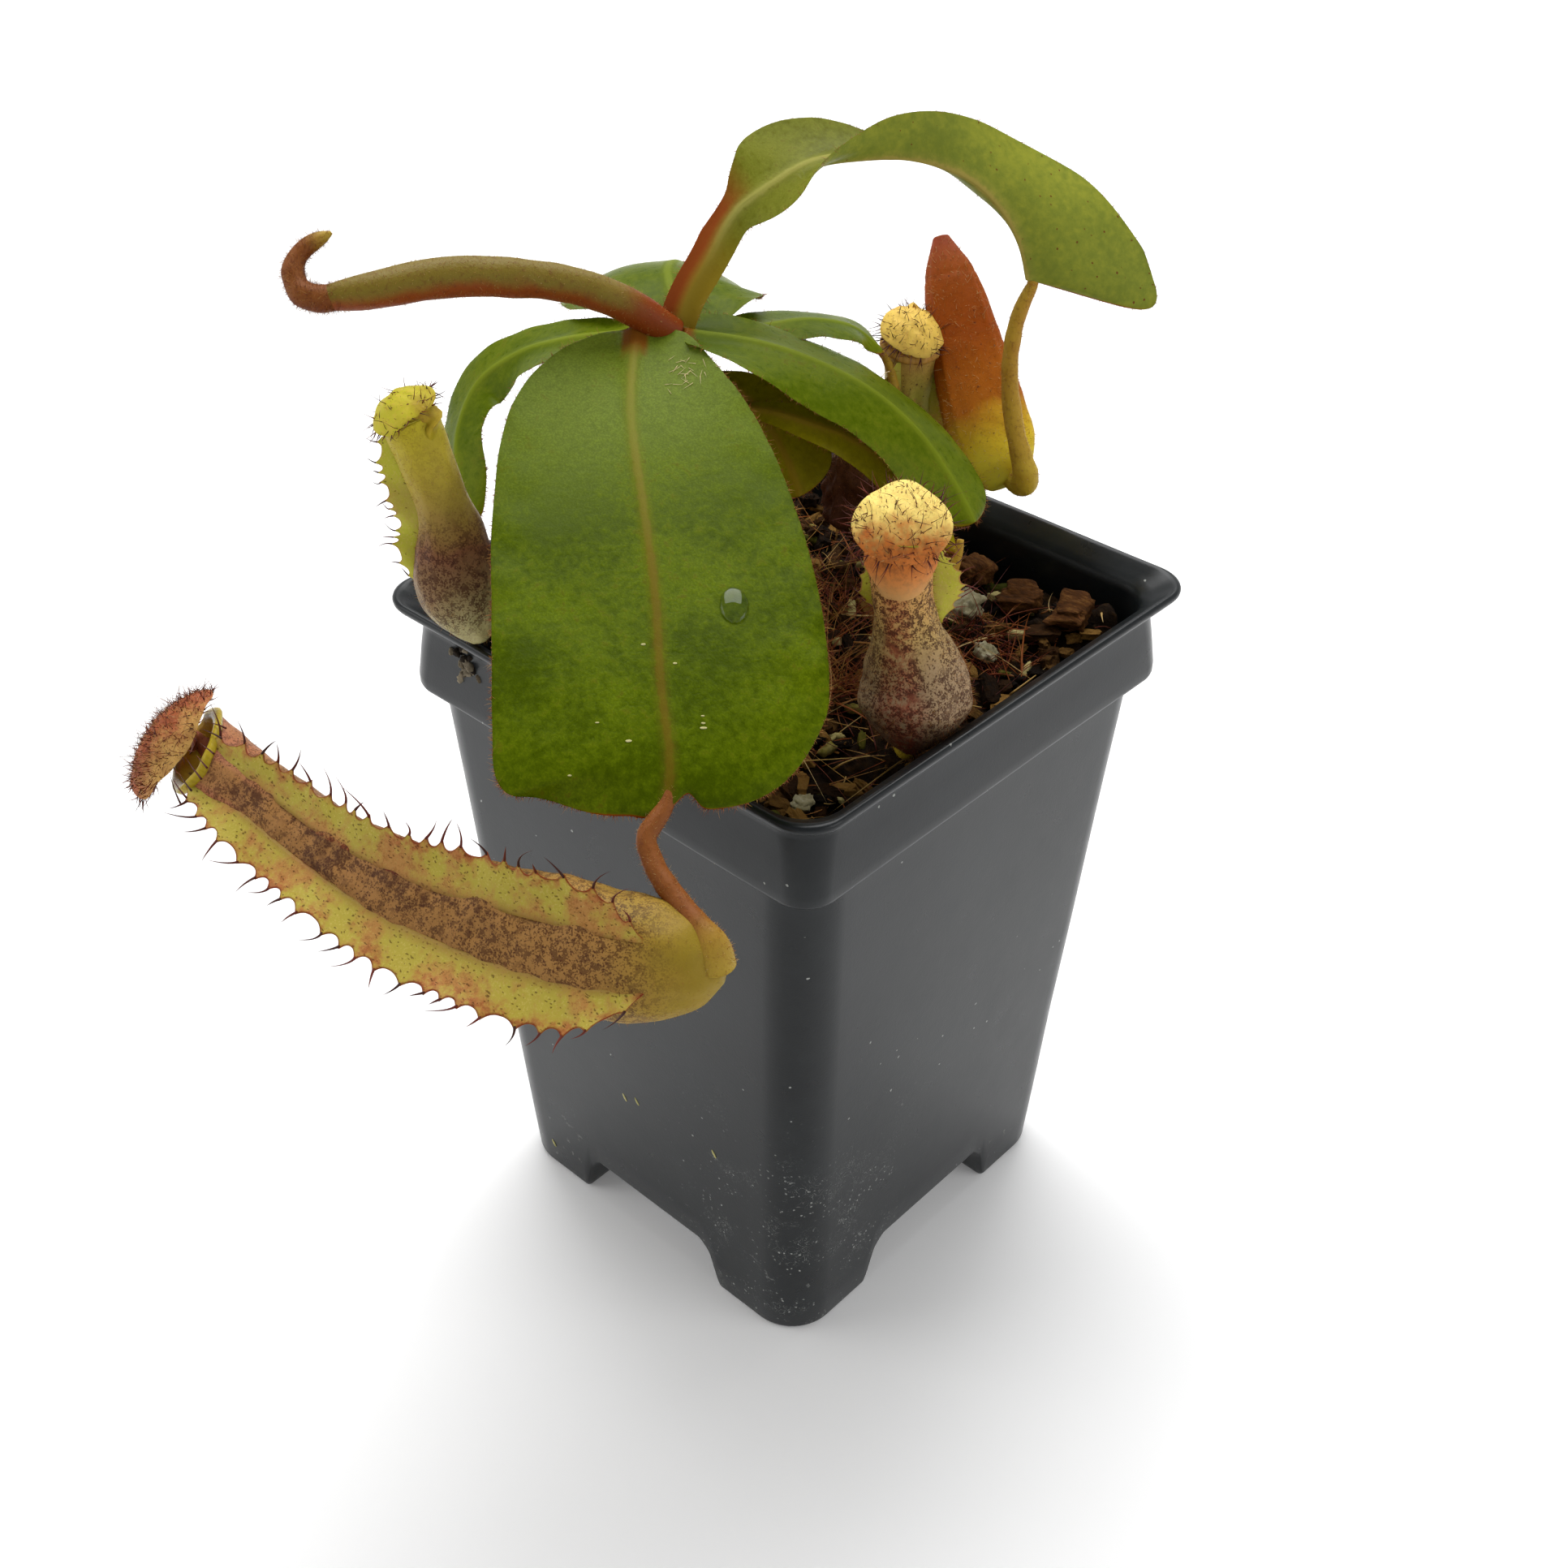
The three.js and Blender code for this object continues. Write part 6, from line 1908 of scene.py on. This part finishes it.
WITHERED = ShutPitcher(
    "withered_pitcher", ((-7, 26.6, 120), (-7.6, 26, 127.5), (-7.8, 25.4, 134), (-8, 24.8, 139)),
    ((0, (0.5, -0.6, 0.3)), (1, (0.5, -0.6, 0.3))),
    ((0, (2, 1.5)), (0.2, (5, 3)), (0.6, (5.5, 2.6)), (1, (3, 1.4))), slot="dried_tissue", crumple=0.16,
    crease=0.25, down=500, tones=(0.2, 0.6))
LIDS = (
    Lid("front_pitcher_lid", (-36.0, -90.4, 123.9), (-0.413, -0.586, 0.698), (0.871, -0.464, 0.126), 6.4, 9.4,
        2.6, slot="lid_pink", bristles=620, bristle=1.3, rim_bristles=60, tones=(0.05, 0.5), point=0.05,
        hinge=((-33.6, -86, 120.8), (-37.6, -85, 120.6)), hinge_wide=3.4),
    Lid("left_pitcher_lid", (-32.3, -46.6, 161), (-0.3, -0.3, 0.9), (-0.99, -0.1, -0.3), 5.3, 5.1, 2.3,
        slot="lid_yellow", bristles=40, bristle=1.3, rim_bristles=40, width=0.08, point=0.05,
        hinge=((-28.4, -45.6, 156.4), (-27.8, -45.7, 160.2)), hinge_wide=2.6),
    Lid("right_pitcher_lid", (32.5, -13, 153.6), (0.4, -0.45, 0.75), (-0.4, 0.45, 0.6), 5.8, 7, 1.8,
        slot="lid_yellow", point=0.16, bristles=130, bristle=1.7, rim_bristles=60, width=0.08,
        hinge=((34, -14.4, 141.5), (35.3, -15.9, 147)), hinge_wide=5.4, bow=4.8),
    Lid("back_pitcher_lid", (-7.7, 38.1, 153.8), (0.3, -0.2, 0.9), (0.9, -0.5, -0.1), 5.5, 5.4, 1.9,
        slot="lid_yellow", bristles=60, bristle=1.6, rim_bristles=46, width=0.08, tones=(0.0, 0.2),
        hinge=((-10.4, 39.4, 146), (-12.2, 40.2, 150.8)), hinge_wide=3.2, bow=4.4),
)


class Plant:
    """The whole plant: its stalks, leaves, pitchers and lids, each with its finish."""

    def __init__(self) -> None:
        """Makes the finish of hairs and bristles."""
        self.hair = HairFinish().make()

    def stalks(self) -> None:
        """Puts stem, tendrils and the rolled new leaf into the scene."""
        # for tendrils and stem the second colour is a darker copy of the first, painted shade underneath
        brown = StalkFinish("red_brown_tendril", seen(128, 74, 30), seen(110, 56, 16), seen(104, 56, 18),
                            tip=seen(172, 146, 50), tip_from=0.74).make()
        olive = StalkFinish("olive_tendril", seen(176, 140, 44), seen(158, 110, 32), seen(134, 98, 30),
                            tip=seen(204, 180, 50), tip_from=0.7).make()
        rolled = StalkFinish("rolled_new_leaf", seen(120, 102, 34), seen(130, 62, 20), seen(124, 54, 14),
                             0.24, rough=0.45).make()
        bark = StalkFinish("woody_stem", seen(112, 96, 44), seen(92, 70, 36), seen(70, 46, 26), 0.3).make()
        finish = {"tendril_brown": brown, "tendril_olive": olive, "new_leaf": rolled, "stem_bark": bark}
        for stalk in STALKS:
            stalk.dress(finish[stalk.slot], self.hair)

    def leaves(self) -> None:
        """Puts the leaves into the scene."""
        # the front leaf carries a painted sheen near its base
        green = LeafFinish("waxy_green_leaf", blush_to=0.09, blush_wide=2.4, painted_sheen_share=0.7).make()
        arch = LeafFinish("arching_green_leaf", seen(108, 112, 26), seen(144, 148, 52), seen(142, 146, 50),
                          rib=seen(164, 158, 84), rib_end=seen(150, 148, 66), rib_under=seen(168, 146, 76),
                          blush_to=0.3, blush=seen(136, 112, 30), blush_wide=4.5, flank=0.34,
                          felt=0.25).make()
        fresh = LeafFinish("fresh_green_leaf", seen(84, 102, 4), seen(116, 130, 22), seen(108, 120, 10),
                           seen(128, 110, 16), rib=seen(120, 132, 34), rib_end=seen(112, 124, 24),
                           felt=0.3).make()
        old = LeafFinish("yellow_green_leaf", seen(140, 128, 4), seen(166, 156, 12), seen(156, 142, 10),
                         seen(150, 104, 30), rib=seen(156, 124, 40), rib_end=seen(150, 120, 30), felt=0.25,
                         blush_to=0.06).make()
        finish = {"front_leaf": green, "arching_leaf": arch}
        for leaf in LEAVES:
            leaf.dress(finish.get(leaf.node, old if leaf.slot == "leaf_old" else fresh), self.hair)

    def pitchers(self) -> None:
        """Puts the pitchers and their lids into the scene."""
        green_wing = WingFinish("yellow_green_wing").make()
        pale_wing = WingFinish("pale_green_wing", seen(178, 178, 56), seen(176, 166, 70), seen(150, 90, 60),
                               share=0.12, mottled=0.1).make()
        FRONT_PITCHER.dress(CupFinish("green_speckled_cup", (
            (0.0, seen(138, 116, 30)), (0.1, seen(150, 122, 44)), (0.22, seen(160, 124, 60)),
            (0.6, seen(146, 98, 52)), (0.85, seen(164, 116, 66)), (1.0, seen(176, 110, 78))),
            band=seen(156, 112, 62), band_half=0.17, share=0.75, grain=0.42, mottled=0.7,
            lip=seen(168, 146, 36), inside=seen(188, 160, 50)).make(), green_wing, self.hair)
        LEFT_PITCHER.dress(CupFinish("tan_speckled_cup", (
            (0.0, seen(178, 170, 116)), (0.14, seen(172, 162, 112)), (0.3, seen(140, 112, 76)),
            (0.45, seen(128, 84, 56)), (0.62, seen(158, 134, 58)), (1.0, seen(184, 168, 40))),
            share=0.4, mottled=0.75, clear_from=0.55, lip=seen(170, 156, 50)).make(), pale_wing, self.hair)
        RIGHT_PITCHER.dress(CupFinish("pink_speckled_cup", (
            (0.0, seen(120, 78, 64)), (0.2, seen(156, 130, 100)), (0.42, seen(160, 134, 100)),
            (0.62, seen(186, 154, 92)), (0.85, seen(200, 150, 84)), (1.0, seen(184, 104, 50))),
            share=0.55, mottled=0.85, stripe=seen(156, 62, 44), stripe_half=0.2).make(), pale_wing, self.hair)
        BACK_PITCHER.dress(CupFinish("green_cup", (
            (0.0, seen(120, 104, 40)), (0.5, seen(148, 150, 44)), (0.8, seen(180, 172, 70)),
            (1.0, seen(190, 152, 76))), share=0.15, mottled=0.2, lip=seen(196, 150, 74),
            lip_rib=seen(150, 96, 40), inside=seen(214, 176, 110)).make(), pale_wing, self.hair)
        orange = CupFinish("orange_brown_shut_pitcher", (
            (0.0, seen(214, 200, 56)), (0.14, seen(208, 178, 40)), (0.32, seen(164, 92, 8)),
            (0.6, seen(146, 66, 0)), (0.84, seen(148, 70, 10)), (1.0, seen(140, 58, 26))),
            share=0.04, mottled=0.1)
        UNOPENED.dress(orange.make(), self.hair)
        WITHERED.dress(CupFinish("withered_brown", (
            (0.0, seen(60, 34, 20)), (0.5, seen(84, 48, 30)), (1.0, seen(104, 66, 36))), share=0.3).make(),
            self.hair)
        yellow = LidFinish("cream_yellow_lid", seen(226, 190, 88), spread=0.02, share=0.12,
                           foot=seen(190, 170, 66)).make()
        red_neck = LidFinish("cream_lid_with_red_neck", seen(250, 222, 124), seen(190, 96, 34), spread=0.42,
                             share=0.1).make()
        green = LidFinish("yellow_green_lid", seen(190, 182, 46), seen(170, 140, 44), share=0.06,
                          spread=0.1, foot=seen(176, 160, 38)).make()
        pink = LidFinish("pink_tan_lid", seen(204, 160, 92), seen(168, 84, 54), share=0.4, spread=0.8,
                         foot=seen(150, 90, 60)).make()
        finish = {"front_pitcher_lid": pink, "left_pitcher_lid": green, "right_pitcher_lid": red_neck,
                  "back_pitcher_lid": yellow}
        for lid in LIDS:
            lid.dress(finish[lid.node], self.hair)


@dataclass
class Traces:
    """Small things that lie on leaf and pot: a drop of water, pale flecks, scratches, seeds and a clump."""

    drop_at: tuple[float, float, float] = (21.3, -34.7, 145.8)
    drop_half: tuple[float, float, float] = (2.0, 2.9, 0.75)
    clump_at: tuple[float, float, float] = (-28.4, -43.1, 117.5)
    scratched_at: tuple[float, float, float] = (-11.3, -11.4, 161.6)

    def on_leaf(self, skin: Skin, place: Sequence[float]) -> tuple[Array, Array]:
        """Finds the grid point of a leaf's upper side that is nearest to a place.

        Args:
            skin: The leaf's surface.
            place: The place, in millimetres from the axis.

        Returns:
            The grid point and the outward direction there.
        """
        away = np.linalg.norm(skin.rows - SITE.metres(place), axis=-1) + (1 - skin.marks["top"])
        row, column = np.unravel_index(np.argmin(away), away.shape)
        return skin.rows[row, column], skin.normals()[row, column]

    def bead(self, place: Array, normal: Array, half: Sequence[float], rings: int) -> Skin:
        """Smooth ball pulled to three half sizes, the last of them along the normal.

        Args:
            place: Its middle, in metres.
            normal: Direction of its third axis.
            half: Half sizes, in millimetres.
            rings: Rows from pole to pole.

        Returns:
            Its surface.
        """
        one = unit(np.cross((-0.5, 0.5, 0.75), normal))
        axes = np.stack([one, np.cross(normal, one), normal])
        return Skin(place + ball(rings) * np.asarray(half) * MM @ axes)

    def dress(self, hair: Material) -> None:
        """Puts them all into the scene.

        Args:
            hair: Finish of the scratches.
        """
        rng = np.random.default_rng(SEED + 5)
        pot = Pot()
        leaf, = LEAVES[0].build()
        place, normal = self.on_leaf(leaf, self.drop_at)
        drop = self.bead(place + normal * 0.15 * MM, normal, self.drop_half, FINE_RINGS)
        settle("water_drop", Clay().skin(drop), drop_finish(), "leaf_green")
        flecks = []
        for spot in ((19.2, -59, 137.5), (29.6, -49.1, 137.5), (29.1, -48.4, 137.9), (30.1, -49.5, 137.2),
                     (21.1, -65.6, 134), (23.9, -57.6, 136.2), (16.3, -47.3, 142.9), (21.6, -46.2, 141.6)):
            place, normal = self.on_leaf(leaf, spot)
            half = (rng.uniform(0.25, 0.5), rng.uniform(0.1, 0.2), 0.07)
            flecks.append(self.bead(place + normal * 0.05 * MM, normal, half, SMALL_RINGS))
        for x, z in ((-3.1, 36.2), (0.1, 37.5), (18.9, 38.2), (23.6, 107.1), (-26.2, 6.3)):
            out = -(pot.foot_half + (pot.top_half - pot.foot_half) * z / pot.collar_foot) - 0.05
            place = SITE.metres((x, out, z))
            flecks.append(self.bead(place, np.array([0, -1.0, 0]), (0.22, 0.9, 0.16), SMALL_RINGS))
        pale = EarthFinish("pale_fleck", seen(160, 156, 90), seen(190, 184, 126), seen(214, 208, 160)).make()
        settle("pale_flecks", Clay().skin(*flecks), pale, "leaf_green")
        spots = [rng.normal(0, 1, 3) * (2.0, 2.0, 0) + self.scratched_at for _ in range(26)]
        roots, normals = (np.array(part) for part in zip(*(self.on_leaf(leaf, spot) for spot in spots)))
        lying = unit(np.cross(normals, rng.normal(size=normals.shape)))
        lengths = rng.uniform(0.6, 2.2, len(roots))
        tones = np.full(len(roots), 0.95)
        tufts = Tufts(roots + normals * 0.12 * MM, lying, 0 * lying, lengths, 0.05, tones, 3, 4)
        settle("pale_scratches", Clay().tufts(tufts), hair, "leaf_green")
        clump = Clay()
        for k in range(34):
            centre = SITE.metres(rng.normal(0, 1, 3) * (1.5, 0.25, 1.7) + self.clump_at)
            half = rng.uniform(0.3, 0.95, 3)
            skin = pebble(centre, half, rng.uniform(0, 3, 3), Grit.CRUMB, 60 + k, SMALL_RINGS)
            skin.marks["tone"] = rng.random()
            clump.skin(skin)
        dirt = EarthFinish("dried_mud", seen(40, 34, 28), seen(92, 82, 66), seen(140, 130, 110), 0.8, 0.3,
                           by_tone=True).make()
        settle("dirt_on_collar", clump, dirt, "bark_mix")


# ------------------------------------------------------------------ camera and light
def stance(place: Array, ahead: Array, above: Sequence[float]) -> Matrix:
    """Pose of a camera or light.

    Args:
        place: Where it stands, in metres.
        ahead: The way it looks.
        above: The way that is upwards in its picture.

    Returns:
        The pose.
    """
    back = -unit(ahead)
    right = unit(np.cross(above, back))
    pose = np.eye(4)
    pose[:3] = np.stack([right, np.cross(back, right), back, place], 1)
    return Matrix(pose.tolist())


@dataclass
class Studio:
    """Camera at the photograph's viewing angle, a plain pale floor and soft light from above."""

    place: tuple[float, float, float] = (177.498, -196.492, 282.790)
    ahead: tuple[float, float, float] = (-0.5389, 0.5943, -0.5969)
    above: tuple[float, float, float] = (-0.4087, 0.4351, 0.8023)
    aim: tuple[float, float, float] = (0.0, 0.0, 140.0)
    lens: float = 44.21
    floor_half: float = 4.0

    def camera(self) -> None:
        """Makes the scene's camera."""
        data = bpy.data.cameras.new("camera")
        data.lens = self.lens
        data.sensor_width = 36.0
        data.clip_start, data.clip_end = 0.01, 50.0
        camera = bpy.data.objects.new("camera", data)
        camera.matrix_world = stance(SITE.metres(self.place), np.array(self.ahead), self.above)
        bpy.context.scene.collection.objects.link(camera)
        bpy.context.scene.camera = camera

    def floor(self) -> None:
        """Makes the floor that the pot stands on."""
        corners = np.array([(-1, -1, 0), (1, -1, 0), (1, 1, 0), (-1, 1, 0)]) * self.floor_half
        mesh = Clay().add(corners, [np.array([[0, 1, 2, 3]])]).mesh("floor", False)
        floor = bpy.data.objects.new("floor", mesh)
        mesh.materials.append(floor_finish())
        bpy.context.scene.collection.objects.link(floor)

    def panel(self, name: str, place: Sequence[float], side: float, depth: float, power: float) -> None:
        """Hangs one soft light, in metres, that looks at the plant.

        Args:
            name: Its name.
            place: Where it hangs.
            side: Its width.
            depth: Its other side.
            power: Its power in watts.
        """
        data = bpy.data.lights.new(name, "AREA")
        data.shape = "RECTANGLE"
        data.size = side
        data.size_y = depth
        data.energy = power
        light = bpy.data.objects.new(name, data)
        light.matrix_world = stance(np.array(place), SITE.metres(self.aim) - np.array(place), (0.0, 0.0, 1.0))
        bpy.context.scene.collection.objects.link(light)

    def light(self) -> None:
        """Hangs the soft lights and paints the surroundings: white to the camera, dim overhead."""
        self.panel("softbox_above", (-0.36, 0.38, 1.05), 1.0, 0.9, 15.0)
        self.panel("softbox_left", (-0.75, -0.75, 0.7), 0.7, 0.7, 3.4)
        self.panel("softbox_right", (0.9, 0.3, 0.6), 0.6, 0.6, 2.6)
        world = bpy.data.worlds.new("white_room")
        world.use_nodes = True
        bpy.context.scene.world = world
        tree = world.node_tree
        around = tree.nodes["Background"]
        seen_by = tree.nodes.new("ShaderNodeLightPath")
        spot = tree.nodes.new("ShaderNodeTexCoord")
        parts = tree.nodes.new("ShaderNodeSeparateXYZ")
        dim = tree.nodes.new("ShaderNodeMapRange")
        pick = tree.nodes.new("ShaderNodeMix")
        tree.links.new(spot.outputs["Generated"], parts.inputs[0])
        tree.links.new(parts.outputs[2], dim.inputs[0])
        for key, value in ((1, 0.1), (2, 0.7), (3, 0.66), (4, 0.26)):
            dim.inputs[key].default_value = value
        tree.links.new(seen_by.outputs["Is Camera Ray"], pick.inputs[0])
        tree.links.new(dim.outputs[0], pick.inputs[2])
        pick.inputs[3].default_value = 1.0
        around.inputs[0].default_value = (1.0, 1.0, 1.0, 1.0)
        tree.links.new(pick.outputs[0], around.inputs[1])
        bpy.context.scene.view_settings.view_transform = "Standard"

    def dress(self) -> None:
        """Puts camera, floor and lights into the scene."""
        self.camera()
        self.floor()
        self.light()


def main() -> None:
    """Builds the scene, piece by piece."""
    logging.basicConfig(level=logging.INFO, format="%(message)s")
    Studio().dress()
    Pot().dress()
    GrowingMedium().dress()
    plant = Plant()
    Litter().dress(plant.hair)
    plant.stalks()
    plant.leaves()
    plant.pitchers()
    Traces().dress(plant.hair)


if __name__ == "__main__":
    main()
